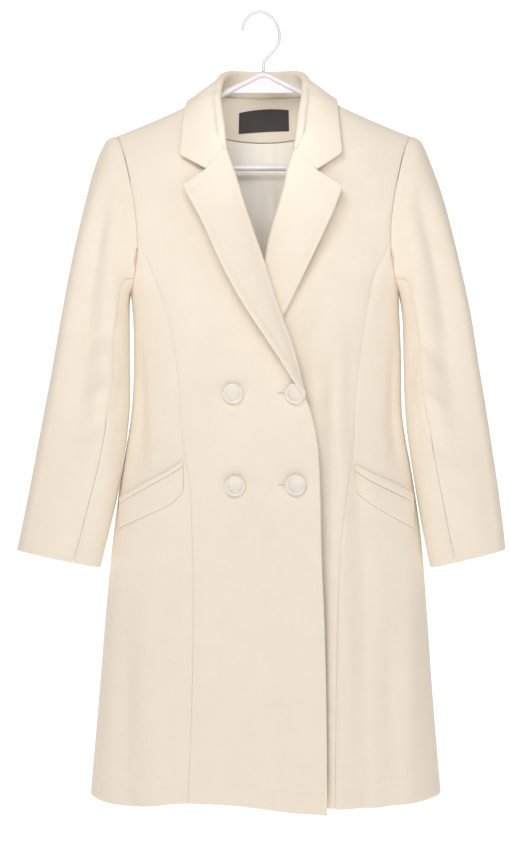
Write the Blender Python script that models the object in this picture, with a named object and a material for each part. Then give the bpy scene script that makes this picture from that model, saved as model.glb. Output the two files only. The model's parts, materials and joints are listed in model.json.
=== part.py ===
"""A women's double-breasted wool coat on a white clothes hanger, hung from the hanger's hook.

The origin is on the inner side of the hook, where a rail carries it. +Z is up, the coat faces -Y,
and the wearer's right side is at -X. Sizes below are in millimetres. A "drop" is a distance below
the rail, so a point's height is minus its drop.
"""

import math
from collections import namedtuple

import bmesh
import bpy
from mathutils import Vector

MM = 0.001

# Cloth thicknesses and gaps
COAT_CLOTH = 2.5
FOLDED_CLOTH = 4.5
COLLAR_CLOTH = 3.6
LINING_CLOTH = 1.0
LABEL_CLOTH = 1.0
SEAM_GAP = 0.3
LAY_GAP = 0.7
SLEEVE_GAP = 0.8

# Base form of the body: a rounded tube that is flat at the front and back
ROUNDNESS = 2.3
SHOULDER_ROLL = 170.0
NECK_SIDE_X = 74.0
NECK_SIDE_DROP = 112.0
SHOULDER_SLOPE = 0.53
SHOULDER_EASE = 0.00065
UNDERARM_DROP = 390.0
BACK_NECK_RISE = 41.0
BACK_NECK_POWER = 1.2
SLOPE_STEP = 0.4
SHOULDER_LEVEL = 130.0
TOP_SHARE = 0.98

Girth = namedtuple("Girth", "drop right left front back")
GIRTHS = (
    Girth(110, 238, 238, 56, 50),
    Girth(171, 236, 236, 57, 51),
    Girth(250, 222, 224, 60, 54),
    Girth(320, 203, 206, 63, 55),
    Girth(390, 184, 187.5, 66, 54),
    Girth(475, 179.5, 190.5, 68, 51),
    Girth(556, 183, 192, 71, 53),
    Girth(642, 197, 206, 76, 60),
    Girth(722, 207.5, 217.5, 79, 65),
    Girth(827, 218, 226, 81, 69),
    Girth(950, 228, 234.5, 82, 71),
    Girth(1100, 241, 247, 82, 73),
)

Mark = namedtuple("Mark", "drop x")
ARMHOLE_FRONT = (
    Mark(171, 204.5), Mark(180, 198.5), Mark(201, 191), Mark(230, 184), Mark(254, 179),
    Mark(287, 174.5), Mark(322, 172.5), Mark(347, 174.5), Mark(370, 178), Mark(390, 184),
)
ARMHOLE_BACK = (
    Mark(171, 204.5), Mark(180, 200), Mark(201, 194), Mark(230, 189), Mark(254, 185),
    Mark(287, 181), Mark(322, 178.5), Mark(347, 178.5), Mark(370, 180.5), Mark(390, 184),
)
ARMHOLE_DROPS = (171, 176, 190, 214, 245, 280, 322, 347, 369, 384, 390)
PRINCESS_STATION = 6

PRINCESS_RIGHT = (
    Mark(322, 172.5), Mark(350, 158.5), Mark(384, 145), Mark(424, 132), Mark(463, 123), Mark(503, 117),
    Mark(546, 114), Mark(597, 110), Mark(656, 100), Mark(725, 97), Mark(774, 95.5), Mark(895, 96),
    Mark(967, 98), Mark(1100, 103),
)
PRINCESS_LEFT = (
    Mark(322, 173.5), Mark(340, 164), Mark(364, 153), Mark(400, 144), Mark(445, 136), Mark(490, 129.5),
    Mark(546, 124), Mark(602, 121.5), Mark(656, 113), Mark(725, 103), Mark(807, 99.5), Mark(942, 97),
    Mark(1100, 95.5),
)
FRONT_EDGE_RIGHT = (
    Mark(112, -74), Mark(125, -69), Mark(145, -62), Mark(170, -55), Mark(192, -50), Mark(231, -37),
    Mark(277, -23), Mark(345, 0), Mark(425, 26), Mark(462, 39.5), Mark(511, 52), Mark(534, 58),
    Mark(567, 67), Mark(600, 72.5), Mark(646, 75), Mark(751, 77.5), Mark(832, 81), Mark(940, 83.5),
    Mark(1100, 85),
)
FRONT_EDGE_LEFT = (
    Mark(112, 74), Mark(125, 66), Mark(145, 56), Mark(170, 48), Mark(192, 41), Mark(217, 32.5),
    Mark(244, 27), Mark(274, 18), Mark(315, 6), Mark(345, 0), Mark(425, -26), Mark(462, -38),
    Mark(511, -51), Mark(600, -68), Mark(751, -75), Mark(1100, -82),
)
HEM = (
    Mark(1078, -241), Mark(1084, -219), Mark(1087, -190), Mark(1084, -146), Mark(1080.5, -112),
    Mark(1081, -75), Mark(1085, -5), Mark(1090, 32), Mark(1095, 86),
)
HEM_UNDER = (
    Mark(1084, -90), Mark(1086, 0), Mark(1086.5, 86), Mark(1087, 140), Mark(1085, 176),
    Mark(1082, 215), Mark(1077, 247),
)
BACK_HEM_DROP = 1080.0

# Largest soft folds: a ridge is raised, a trough is negative
FOLD_SIDE_FADE = (0.93, 1.0)
FOLD_SPREAD = (0.8, 1.25)
FOLD_FADE_IN = 120.0
FOLD_FADE_OUT = 60.0
Fold = namedtuple("Fold", "x_top drop_top x_foot drop_foot width height")
RIGHT_FOLDS = (
    Fold(-62, 560, -50, 1160, 30, -2.6),
    Fold(-20, 620, 12, 1160, 34, 3.0),
    Fold(-85, 330, -70, 560, 26, -2.0),
    Fold(-174, 450, -170, 655, 11, -4.0),
    Fold(-160, 820, -150, 1160, 26, 3.0),
)
LEFT_FOLDS = (
    Fold(104, 400, 106, 1160, 17, 4.0),
    Fold(80, 420, 86, 1160, 13, -3.0),
    Fold(150, 760, 128, 1160, 24, -2.6),
    Fold(180, 450, 184, 655, 11, -3.5),
    Fold(196, 820, 190, 1160, 24, 3.2),
)
BACK_FOLDS = (
    Fold(-60, 330, -70, 1160, 32, 3.5),
    Fold(0, 420, 4, 1160, 30, -4.0),
    Fold(68, 350, 80, 1160, 34, 3.5),
    Fold(150, 470, 160, 1160, 26, -3.5),
    Fold(-150, 480, -158, 1160, 24, -3.5),
)

# How far the fronts stand off the base form, and between which x and drops each height sets in
UNDER_LAPEL_LIFT = 6.4
UNDER_LAPEL_X = (-104, -58)
UNDER_LAPEL_START = (250, 330)
PLAIN_LIFT = 2.8
PLAIN_LIFT_X = (-100, -72)
PLAIN_LIFT_START = (220, 330)
FREE_EDGE_LIFT = 3.0
FREE_EDGE_X = (30, 80)
BREAK_ZONE = (520, 640)
SINK_DEPTHS = (2.0, 10.0)
SINK_DEEPENS = (200, 350)
SINK_START = (150, 200)
SINK_X = (48, 92)

# Lapels: each row runs from the roll line out to the lapel's edge
LapelRow = namedtuple("LapelRow", "roll_x roll_drop edge_x edge_drop lift")
LAPEL_RIGHT = (
    LapelRow(-50, 194, -107.5, 246.5, 15), LapelRow(-37, 231, -98, 264, 17), LapelRow(-23, 277, -79, 300, 18),
    LapelRow(0, 345, -55, 354, 18), LapelRow(14, 390, -29, 404, 16), LapelRow(26, 425, -3, 445, 13),
    LapelRow(39.5, 462, 17.5, 476, 8), LapelRow(46.5, 490, 30, 495, 5), LapelRow(52, 508, 40, 508, 2),
)
LAPEL_LEFT = (
    LapelRow(41, 194, 104.5, 246.5, 13), LapelRow(29.9, 231, 95, 274, 14), LapelRow(17.1, 277, 78, 313, 12),
    LapelRow(7.1, 311, 64, 344, 8.5), LapelRow(0, 345, 53.5, 367, 5), LapelRow(-14, 390, 38, 400, 1.5),
    LapelRow(-26, 425, 23, 427, 0.6), LapelRow(-38, 462, -4, 462, 0.5), LapelRow(-48, 500, -28, 498, 0.5),
)
NOTCH_RIGHT = (-80.5, 224.5)
NOTCH_LEFT = (73.0, 225.5)
LAPEL_COLUMNS = 6
NOTCH_COLUMN = 3
FOLD_IN_SHARE = 1 / 3

# Collar, from the centre back round to the front end. The fall's edge is a plan position and a lift
CollarRow = namedtuple("CollarRow", "seam_x seam_drop seam_y roll_x roll_drop roll_y edge_x edge_y lift")
COLLAR_SHIFT = -4.0
COLLAR_SHIFT_ROWS = (2, 7)
COLLAR = (
    CollarRow(0, 114, 41.5, 0, 74, 44, 0, 45, 6),
    CollarRow(26, 114, 38, 25, 74.3, 40, 32, 40, 6),
    CollarRow(48, 113, 30, 43, 77, 27, 62, 29, 6),
    CollarRow(64, 111.5, 15, 52, 86, 9, 90, 14, 5),
    CollarRow(71, 110, 0, 54.5, 98, -9, 100.5, 1, 4.5),
    CollarRow(68.5, 114, -10, 55, 107, -17, 103, -11, 4.5),
    CollarRow(63.5, 122, -20, 55, 118, -31, 104.5, -20, 5),
    CollarRow(55.5, 143, -34, 52, 146, -47.5, 106, -30, 7),
    CollarRow(53, 168, -45, 48.6, 171, -57, 107.5, -38, 9),
)
COLLAR_POINT = (107.5, -44.0, 11.0)
ROLL_RADIUS = 3.9
STAND_COLUMNS = 2
ROLL_COLUMNS = 4
FALL_COLUMNS = 6
FALL_BULGE = 3.0
GORGE_GAP = 1.6
GORGE_SLANT = 0.7

# Sleeves: the outer and inner outline seen from the front, half the depth, and how far forward it sits
SleeveRow = namedtuple("SleeveRow", "outer_x outer_drop inner_x inner_drop half_depth centre_y")
SLEEVE_RIGHT = (
    SleeveRow(204.5, 171, 184, 390, 43, -2), SleeveRow(210, 172.5, 186, 397, 44, -2),
    SleeveRow(219, 180, 186, 402, 45, -3), SleeveRow(232.5, 210, 186, 408, 46, -3),
    SleeveRow(246, 260, 185.5, 420, 46, -4), SleeveRow(262, 330, 185, 440, 45, -5),
    SleeveRow(278, 415, 184.5, 480, 44, -7), SleeveRow(290, 485, 184, 530, 43, -9),
    SleeveRow(300, 540, 187, 575, 42, -11), SleeveRow(311, 600, 193.5, 630, 40, -14),
    SleeveRow(322, 660, 205, 685, 37, -17), SleeveRow(332, 710, 216, 732, 34, -20),
    SleeveRow(338.5, 741, 224, 765, 32, -22),
)
SLEEVE_LEFT = (
    SleeveRow(204.5, 171, 187.5, 390, 43, -2), SleeveRow(210, 172.5, 189.5, 397, 44, -2),
    SleeveRow(219, 180, 190, 402, 45, -3), SleeveRow(231, 207, 191, 408, 46, -3),
    SleeveRow(250, 262, 192, 420, 46, -4), SleeveRow(268, 335, 193, 440, 45, -5),
    SleeveRow(285, 415, 193.5, 480, 44, -7), SleeveRow(296, 485, 194.5, 530, 43, -9),
    SleeveRow(305, 540, 197.5, 575, 42, -11), SleeveRow(314, 600, 205, 630, 40, -14),
    SleeveRow(322.5, 660, 213.5, 685, 38, -17), SleeveRow(329, 710, 222, 732, 35, -20),
    SleeveRow(332, 740, 229, 765, 33, -22),
)
SLEEVE_ROUNDNESS = 2.2
CAP_EASE_ROWS = 6
FRONT_SEAM_STATION = 8
BACK_SEAM_STATION = 4
FRONT_TURN_TOP = math.radians(45)
FRONT_TURN_CUFF = math.radians(70)
BACK_TURN = math.radians(60)
SLEEVE_CLEAR = 1.4
SLEEVE_SEAM_GAP = 0.5
SLEEVE_UNDERARM_STEPS = 7
SLEEVE_CLEAR_START = 60.0
BODY_MARGIN = 1.0

# Pockets: a narrow edge band above a wide welt, both slanting down towards the side
PocketRow = namedtuple("PocketRow", "x top fold foot")
POCKET_RIGHT = (
    PocketRow(-107, 615.5, 624, 657), PocketRow(-123, 627, 635, 674), PocketRow(-150, 642, 650, 688),
    PocketRow(-174, 655.5, 664, 699), PocketRow(-190, 665, 674, 707), PocketRow(-199, 671, 681, 712),
)
POCKET_LEFT = (
    PocketRow(121.5, 621, 630, 656), PocketRow(140, 631, 643, 673), PocketRow(162, 641.5, 654.5, 687),
    PocketRow(183, 651.5, 665, 699), PocketRow(198, 659.5, 673, 707), PocketRow(207, 665, 679, 712),
)
WELT_CLOTH = 2.4
EDGE_BAND_CLOTH = 2.2

# Buttons
Button = namedtuple("Button", "name x drop lift")
BUTTONS = (
    Button("button_upper_right", -41, 527, 0.7), Button("button_lower_right", -38.5, 651.5, 1.2),
    Button("button_upper_left", 42, 527, 0.5), Button("button_lower_left", 42.5, 650, 1.2),
)
BUTTON_RADIUS = 14.2
BUTTON_HEIGHT = 5.2
BUTTON_SIDES = 20
# Turned outline from the back's centre to the dished face's centre, as shares of radius and height
ButtonStep = namedtuple("ButtonStep", "radius height")
BUTTON_OUTLINE = (
    ButtonStep(0.0, 0.0), ButtonStep(0.62, 0.0), ButtonStep(0.93, 0.22), ButtonStep(1.0, 0.55),
    ButtonStep(0.95, 0.88), ButtonStep(0.86, 1.0), ButtonStep(0.72, 0.9), ButtonStep(0.55, 0.62),
    ButtonStep(0.0, 0.5),
)

# Inside the neck
NECK_SEAM_DROP = 116.0
FACING_DROP_CENTRE = 173.0
FACING_DROP_SIDE = 152.0
FACING_HALF_WIDTH = 62.0
FACING_ROWS = 5
FACING_COLUMNS = 12
LABEL_CENTRE = (-0.5, 141.0)
LABEL_SIZE = (72.0, 35.0)
LABEL_GAP = 0.6
FACING_GAP = 1.6
LINING_GAP = 2.2
LINING_FOOT_DROP = 1048.0
LINING_CENTRE_DROPS = (116, 128, 142, 160, 184, 216, 262, 304, 344, 374, 392)
LINING_INSET = 0.12
LINING_ROW_STEP = 4.0
LINING_SHOULDER_DROP = 12.0
LINING_RISE = 1.5
LINING_BESIDE = 10.0
PLEAT_X = 5.0
PLEAT_WIDTH = 7.0
PLEAT_LAY = 17.5
PLEAT_DEPTH = 3.0

# Grids
LOWER_ROWS = 14
FRONT_COLUMNS = 9
SIDE_COLUMNS = 8
BACK_COLUMNS = 24
POCKET_COLUMNS = 9
POCKET_START_DROP = 650.0
POCKET_END_DROP = 690.0
POCKET_MIDDLE_DROP = 670.0
HEM_LEVEL = 1085.0
SIDE_HEM_DROP = 1078.0
SHOULDER_DROP = 171.0
TOP_PULL_ROWS_FRONT = 4
TOP_PULL_ROWS_BACK = 5
FRONT_EDGE_DROPS = (
    112, 120, 140, 186, 194, 231, 277, 345, 390, 425, 462, 508, 545, 600, 660, 725, 800, 880, 950, 1020,
)
BACK_CENTRE_DROPS = (116, 120, 132, 152, 182, 222, 268, 308, 346, 374, 390)

# Rolled edge of the lapels
WRAP_CLOTH = 3.0
WRAP_DEPTH = 12.0
WRAP_DEPTH_TOP = 2.0
WRAP_CORNER = 0.5
LAPEL_SPRING = 0.7
LAPEL_GAP = 1.9
COLLAR_ROOM = 6.0
ROOM_START = (112, 128)
WRAP_END = (505, 545)
COLLAR_ROOM_END = (190, 215)

# Hanger
HOOK_WIRE_RADIUS = 2.25
HOOK_SIDES = 10
HookPoint = namedtuple("HookPoint", "x z")
HOOK_PATH = (
    HookPoint(0, -80.2), HookPoint(0, -69.5), HookPoint(1.6, -65.5), HookPoint(10.5, -55), HookPoint(18, -47),
    HookPoint(21.3, -38.5), HookPoint(21.9, -30), HookPoint(19.7, -19), HookPoint(13.8, -8),
    HookPoint(4.6, -0.9), HookPoint(-4.6, 2.25), HookPoint(-14.7, -0.2), HookPoint(-22.3, -5.9),
    HookPoint(-27.3, -14), HookPoint(-29, -24),
)
ARM_APEX_DROP = 83.0
ARM_APEX_ROUND = 0.45
ARM_SLOPE = 0.516
ARM_STATIONS = (8, 45, 90, 135, 186)
ARM_ROUND = ARM_STATIONS[0]
ARM_END_X = ARM_STATIONS[-1]
ARM_END_ROUND = 12.0
ARM_END_INSET = 3.0
ARM_END_TURNS = (62, 25, -10, -45, -75)
BAR_STATIONS = (174, 120, 60, 0)
ARM_THICKNESS = 9.0
ARM_DEPTH = 9.0
ARM_SIDES = 12
BAR_DROP = 213.5
PLATE_HALF_WIDTH = 50.0
PLATE_DROP = 110.0
PLATE_DEPTH = 3.0
PLATE_TOP_INSET = 2.0
PLATE_CORNER = 6.0
HOOK_STEPS = 2
SHARP_ANGLE = math.radians(50)


def clear_scene():
    """Empties the file that the script starts in."""
    for item in list(bpy.data.objects):
        bpy.data.objects.remove(item, do_unlink=True)


def material(name, colour, roughness, metallic=0.0):
    """A plain finish of one colour."""
    made = bpy.data.materials.new(name)
    made.use_nodes = True
    shader = made.node_tree.nodes["Principled BSDF"]
    shader.inputs["Base Color"].default_value = (*colour, 1.0)
    shader.inputs["Roughness"].default_value = roughness
    shader.inputs["Metallic"].default_value = metallic
    return made


def mix(a, b, share):
    """The value at this share of the way from a to b."""
    return a + (b - a) * share


def ease(value, low, high):
    """0 below low, 1 above high and a smooth step between."""
    share = min(1.0, max(0.0, (value - low) / (high - low)))
    return share * share * (3 - 2 * share)


def curve_at(keys, values, at):
    """Reads a smooth curve through a table, held level past its ends."""
    if at <= keys[0]:
        return values[0]
    if at >= keys[-1]:
        return values[-1]
    k = max(i for i in range(len(keys) - 1) if keys[i] <= at)
    span = keys[k + 1] - keys[k]
    share = (at - keys[k]) / span

    def slope(i):
        if 0 < i < len(keys) - 1:
            before = (values[i] - values[i - 1]) / (keys[i] - keys[i - 1])
            after = (values[i + 1] - values[i]) / (keys[i + 1] - keys[i])
            return 0.0 if before * after < 0 else (before + after) / 2
        j = min(i, len(keys) - 2)
        return (values[j + 1] - values[j]) / (keys[j + 1] - keys[j])

    a, b = values[k], values[k + 1]
    return (
        a * (1 + 2 * share) * (1 - share) ** 2
        + slope(k) * span * share * (1 - share) ** 2
        + b * share**2 * (3 - 2 * share)
        - slope(k + 1) * span * share**2 * (1 - share)
    )


def girth(drop, column):
    """One column of the girth table at this drop."""
    return curve_at([g.drop for g in GIRTHS], [getattr(g, column) for g in GIRTHS], drop)


def half_width(x, drop):
    """From the centre line to the coat's side, on the side where x lies."""
    return girth(drop, "left" if x > 0 else "right")


def mark_x(marks, drop):
    """The x of a seam or edge at this drop."""
    return curve_at([m.drop for m in marks], [m.x for m in marks], drop)


def mark_drop(marks, x):
    """The drop of a hem at this x."""
    return curve_at([m.x for m in marks], [m.drop for m in marks], x)


def roll_edge_x(edge, side, drop):
    """The line that a front's edge keeps to, held back by the room that the rolled edge takes."""
    held_back = ease(drop, *ROOM_START) * (1 - ease(drop, *WRAP_END))
    return mark_x(edge, drop) + side * (LAPEL_GAP + WRAP_CLOTH) * held_back


def edge_x(edge, side, drop):
    """The centre front's own edge, held further back under the collar."""
    under_collar = COLLAR_ROOM * ease(drop, *ROOM_START) * (1 - ease(drop, *COLLAR_ROOM_END))
    return roll_edge_x(edge, side, drop) + side * under_collar


def armhole_x(marks, drop, side):
    """The armhole's x, eased out to meet the coat's side at the underarm."""
    out = half_width(side, UNDERARM_DROP) - half_width(-1, UNDERARM_DROP)
    return side * (mark_x(marks, drop) + out * ease(drop, 280, UNDERARM_DROP))


def ridge_drop(x, front):
    """Drop of the shoulder's top line. The back rises to carry the neck."""
    away = abs(x) - NECK_SIDE_X
    straight = NECK_SIDE_DROP + SHOULDER_SLOPE * away - SHOULDER_EASE * max(0.0, away) ** 2
    if front or away > 0:
        return straight
    rise = math.sin(math.pi / 2 * min(1.0, -away / NECK_SIDE_X)) ** BACK_NECK_POWER
    return straight - BACK_NECK_RISE * rise


def roll_square(below):
    """The square of the depth share at this distance under the shoulder line."""
    return 1.0 if below >= SHOULDER_ROLL else 1.0 - (1.0 - below / SHOULDER_ROLL) ** 2


def side_square(x, drop):
    """The square of the depth share between the centre and the side."""
    left = 1.0 - (abs(x) / half_width(x, drop)) ** ROUNDNESS
    return math.copysign(abs(left) ** (2 / ROUNDNESS), left)


def base_surface(x, drop, front, side_angle=None):
    """A point of the coat's base form and the direction out of the cloth there.

    side_angle, from 0 at the centre to a right angle at the side seam, stands for x near the side.
    """
    if side_angle is not None:
        wide = half_width(x, drop)
        x = math.copysign(wide * math.sin(side_angle) ** (2 / ROUNDNESS), x)
        across = max(0.0, math.cos(side_angle)) ** (2 / ROUNDNESS)
    else:
        across = math.sqrt(max(0.0, side_square(x, drop)))
    deep = girth(drop, "front" if front else "back")
    facing = -1 if front else 1
    y = facing * deep * across * math.sqrt(max(0.0, roll_square(drop - ridge_drop(x, front))))

    def share(px, pdrop):
        return roll_square(pdrop - ridge_drop(px, front)) * side_square(px, pdrop)

    out = Vector((
        -(share(x + SLOPE_STEP, drop) - share(x - SLOPE_STEP, drop)) / (2 * SLOPE_STEP),
        2 * y / deep**2,
        (share(x, drop + SLOPE_STEP) - share(x, drop - SLOPE_STEP)) / (2 * SLOPE_STEP),
    ))
    return Vector((x, y + facing * SEAM_GAP / 2, -drop)), out.normalized()


def side_angle_of(x, drop):
    """The side angle of an x."""
    share = min(1.0, abs(x) / half_width(x, drop))
    return math.asin(share ** (ROUNDNESS / 2))


def place_on(x, y, lift):
    """A point lifted off the base form at this plan position."""
    front = y < 0
    deep = girth(SHOULDER_LEVEL, "front" if front else "back")
    share = min(TOP_SHARE, abs(y) / (deep * math.sqrt(side_square(x, SHOULDER_LEVEL))))
    drop = ridge_drop(x, front) + SHOULDER_ROLL * (1 - math.sqrt(1 - share**2))
    point, out = base_surface(x, drop, front)
    return point + out * lift


def folds_at(folds, x, drop):
    """Height of the soft folds at a place. They die away at their ends and at the side seam."""
    total = 0.0
    aside = 1 - ease(abs(x) / half_width(x, drop), *FOLD_SIDE_FADE)
    for f in folds:
        if drop <= f.drop_top or drop >= f.drop_foot:
            continue
        along = (drop - f.drop_top) / (f.drop_foot - f.drop_top)
        axis = mix(f.x_top, f.x_foot, along)
        wide = f.width * mix(*FOLD_SPREAD, along)
        fade = ease(drop, f.drop_top, f.drop_top + FOLD_FADE_IN)
        fade *= 1 - ease(drop, f.drop_foot - FOLD_FADE_OUT, f.drop_foot)
        total += f.height * fade * math.exp(-(((x - axis) / wide) ** 2))
    return total * aside


def front_right_lift(x, drop):
    """How far the overlapping front stands off the base form."""
    below_break = ease(drop, *BREAK_ZONE)
    under_lapel = UNDER_LAPEL_LIFT * ease(x, *UNDER_LAPEL_X) * ease(drop, *UNDER_LAPEL_START)
    under_lapel *= 1 - below_break
    plain = PLAIN_LIFT * ease(x, *PLAIN_LIFT_X) * ease(drop, *PLAIN_LIFT_START)
    free_edge = FREE_EDGE_LIFT * ease(x, *FREE_EDGE_X) * below_break
    return max(plain, under_lapel) + free_edge + folds_at(RIGHT_FOLDS, x, drop)


def front_left_lift(x, drop):
    """How far the front underneath stands off the base form."""
    deep = mix(*SINK_DEPTHS, ease(drop, *SINK_DEEPENS)) * ease(drop, *SINK_START)
    return -deep * (1 - ease(x, *SINK_X)) + folds_at(LEFT_FOLDS, x, drop)


def side_right_lift(x, drop):
    """Folds of the wearer's right side front."""
    return folds_at(RIGHT_FOLDS, x, drop)


def side_left_lift(x, drop):
    """Folds of the wearer's left side front."""
    return folds_at(LEFT_FOLDS, x, drop)


def back_lift(x, drop):
    """Folds of the back."""
    return folds_at(BACK_FOLDS, x, drop)


def finish_object(name, mesh, finish):
    """Turns a closed bmesh into a smooth-shaded object with its faces pointing out."""
    bmesh.ops.recalc_face_normals(mesh, faces=mesh.faces)
    if mesh.calc_volume(signed=True) < 0:
        bmesh.ops.reverse_faces(mesh, faces=mesh.faces)
    data = bpy.data.meshes.new(name)
    mesh.to_mesh(data)
    mesh.free()
    data.materials.append(finish)
    data.shade_smooth()
    data.set_sharp_from_angle(angle=SHARP_ANGLE)
    made = bpy.data.objects.new(name, data)
    bpy.context.scene.collection.objects.link(made)
    return made


def wall(name, outer, inner, finish):
    """A closed wall between two grids of points, each a list of rows."""
    mesh = bmesh.new()
    rows, columns = len(outer), len(outer[0])
    skins = [[[mesh.verts.new(p * MM) for p in row] for row in skin] for skin in (outer, inner)]
    for skin in skins:
        for r in range(rows - 1):
            for c in range(columns - 1):
                mesh.faces.new((skin[r][c], skin[r][c + 1], skin[r + 1][c + 1], skin[r + 1][c]))
    around = [(0, c) for c in range(columns)]
    around += [(r, columns - 1) for r in range(1, rows)]
    around += [(rows - 1, c) for c in range(columns - 2, -1, -1)]
    around += [(r, 0) for r in range(rows - 2, 0, -1)]
    for k, (r, c) in enumerate(around):
        s, d = around[(k + 1) % len(around)]
        mesh.faces.new((skins[0][r][c], skins[0][s][d], skins[1][s][d], skins[1][r][c]))
    return finish_object(name, mesh, finish)


def cloth_on_base(name, places, front, thick, lift, finish):
    """Cloth that follows the base form. places holds rows of (x, drop, side angle or None)."""
    outer, inner = [], []
    for row in places:
        pairs = [base_surface(x, drop, front, angle) for x, drop, angle in row]
        lifts = [lift(point.x, -point.z) for point, _ in pairs]
        outer.append([point + out * up for (point, out), up in zip(pairs, lifts)])
        inner.append([point + out * (up - thick) for (point, out), up in zip(pairs, lifts)])
    return wall(name, outer, inner, finish)


def grid_normals(grid, ring=False):
    """The direction across a grid of points. ring joins each row's ends."""
    rows, columns = len(grid), len(grid[0])
    normals = []
    for r in range(rows):
        line = []
        for c in range(columns):
            before = (c - 1) % columns if ring else max(0, c - 1)
            after = (c + 1) % columns if ring else min(columns - 1, c + 1)
            along = grid[r][after] - grid[r][before]
            down = grid[min(rows - 1, r + 1)][c] - grid[max(0, r - 1)][c]
            line.append(along.cross(down).normalized())
        normals.append(line)
    return normals


def even(low, high, count):
    """count + 1 even steps from low to high."""
    return [mix(low, high, k / count) for k in range(count + 1)]


def armhole_drop(station):
    """Drop of an armhole station, whole or half."""
    low = min(int(station), len(ARMHOLE_DROPS) - 2)
    return mix(ARMHOLE_DROPS[low], ARMHOLE_DROPS[low + 1], station - low)


def front_places(side, edge, princess, hem):
    """Rows of a centre front, from the shoulder seam down. Each runs from the armhole or seam to the edge."""
    rows = []
    total = PRINCESS_STATION + LOWER_ROWS
    foot_x = side * mark_x(princess, HEM_LEVEL)
    for j in range(total + 1):
        in_drop = FRONT_EDGE_DROPS[j] if j < total else mark_drop(hem, mark_x(edge, HEM_LEVEL))
        if j < PRINCESS_STATION:
            out_drop = armhole_drop(j)
            out_x = armhole_x(ARMHOLE_FRONT, out_drop, side)
        else:
            share = (j - PRINCESS_STATION) / LOWER_ROWS
            out_drop = mix(armhole_drop(PRINCESS_STATION), mark_drop(hem, foot_x), share)
            out_x = side * (mark_x(princess, out_drop) - SEAM_GAP / 2)
        in_x = edge_x(edge, side, in_drop)
        row = []
        for k in range(FRONT_COLUMNS + 1):
            x = mix(out_x, in_x, k / FRONT_COLUMNS)
            drop = mix(out_drop, in_drop, k / FRONT_COLUMNS)
            seam_pull = max(0.0, 1 - j / TOP_PULL_ROWS_FRONT) ** 2
            level = mix(SHOULDER_DROP, NECK_SIDE_DROP, k / FRONT_COLUMNS)
            drop += (ridge_drop(x, True) - level) * seam_pull
            if j == total:
                drop = mark_drop(hem, x)
            row.append((x, drop, None))
        rows.append(row)
    return rows


def side_front_places(side, princess, hem):
    """Rows of a side front, from the armhole down. Each runs from the princess seam to the side seam."""
    rows = []
    foot_x = side * mark_x(princess, HEM_LEVEL)
    for j in range(LOWER_ROWS + 1):
        share = j / LOWER_ROWS
        in_drop = mix(armhole_drop(PRINCESS_STATION), mark_drop(hem, foot_x), share)
        in_angle = side_angle_of(side * (mark_x(princess, in_drop) + SEAM_GAP / 2), in_drop)
        out_drop = mix(UNDERARM_DROP, SIDE_HEM_DROP, share)
        row = []
        for k in range(SIDE_COLUMNS + 1):
            drop = mix(in_drop, out_drop, k / SIDE_COLUMNS)
            angle = mix(in_angle, math.pi / 2, k / SIDE_COLUMNS)
            if j == 0 and k > 0:
                drop = armhole_drop(PRINCESS_STATION + k / 2)
                angle = side_angle_of(armhole_x(ARMHOLE_FRONT, drop, side), drop)
            if j == LOWER_ROWS and k < SIDE_COLUMNS:
                reach = side * half_width(side, HEM_LEVEL) * math.sin(angle) ** (2 / ROUNDNESS)
                drop = mark_drop(hem, reach)
            row.append((side, drop, angle))
        rows.append(row)
    return rows


def back_places(columns, top_drops, foot_drop, inset):
    """Rows across the back, from its neck and shoulders down. inset pulls the sides in."""
    rows = []
    upper = len(ARMHOLE_DROPS) - 1
    for j in range(upper + LOWER_ROWS + 1):
        row = []
        for k in range(columns + 1):
            side = 1 if k * 2 > columns else -1
            across = abs(2 * k / columns - 1)
            if j <= upper:
                out_drop = armhole_drop(j)
                reach = side_angle_of(armhole_x(ARMHOLE_BACK, out_drop, side), out_drop) - inset
                centre_drop = top_drops[j]
            else:
                share = (j - upper) / LOWER_ROWS
                out_drop = mix(UNDERARM_DROP, min(SIDE_HEM_DROP, foot_drop), share)
                reach = math.pi / 2 - inset
                centre_drop = mix(top_drops[-1], foot_drop, share)
            angle = across * reach
            drop = mix(centre_drop, out_drop, across**2)
            x = side * half_width(side, drop) * math.sin(angle) ** (2 / ROUNDNESS)
            top = max(ridge_drop(x, False), NECK_SEAM_DROP if abs(x) < NECK_SIDE_X else 0.0)
            top_pull = max(0.0, 1 - j / TOP_PULL_ROWS_BACK) ** 2
            plain_top = mix(top_drops[0], SHOULDER_DROP, across**2)
            drop += (top + (top_drops[0] - NECK_SEAM_DROP) - plain_top) * top_pull
            row.append((side, drop, angle))
        rows.append(row)
    return rows


def build_body(wool):
    """The fronts, side fronts and back."""
    places = front_places(-1, FRONT_EDGE_RIGHT, PRINCESS_RIGHT, HEM)
    cloth_on_base("front_right", places, True, COAT_CLOTH, front_right_lift, wool)
    places = front_places(1, FRONT_EDGE_LEFT, PRINCESS_LEFT, HEM_UNDER)
    cloth_on_base("front_left", places, True, COAT_CLOTH, front_left_lift, wool)
    places = side_front_places(-1, PRINCESS_RIGHT, HEM)
    cloth_on_base("side_front_right", places, True, COAT_CLOTH, side_right_lift, wool)
    places = side_front_places(1, PRINCESS_LEFT, HEM_UNDER)
    cloth_on_base("side_front_left", places, True, COAT_CLOTH, side_left_lift, wool)
    places = back_places(BACK_COLUMNS, BACK_CENTRE_DROPS, BACK_HEM_DROP, 0.0)
    cloth_on_base("back", places, False, COAT_CLOTH, back_lift, wool)


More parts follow.
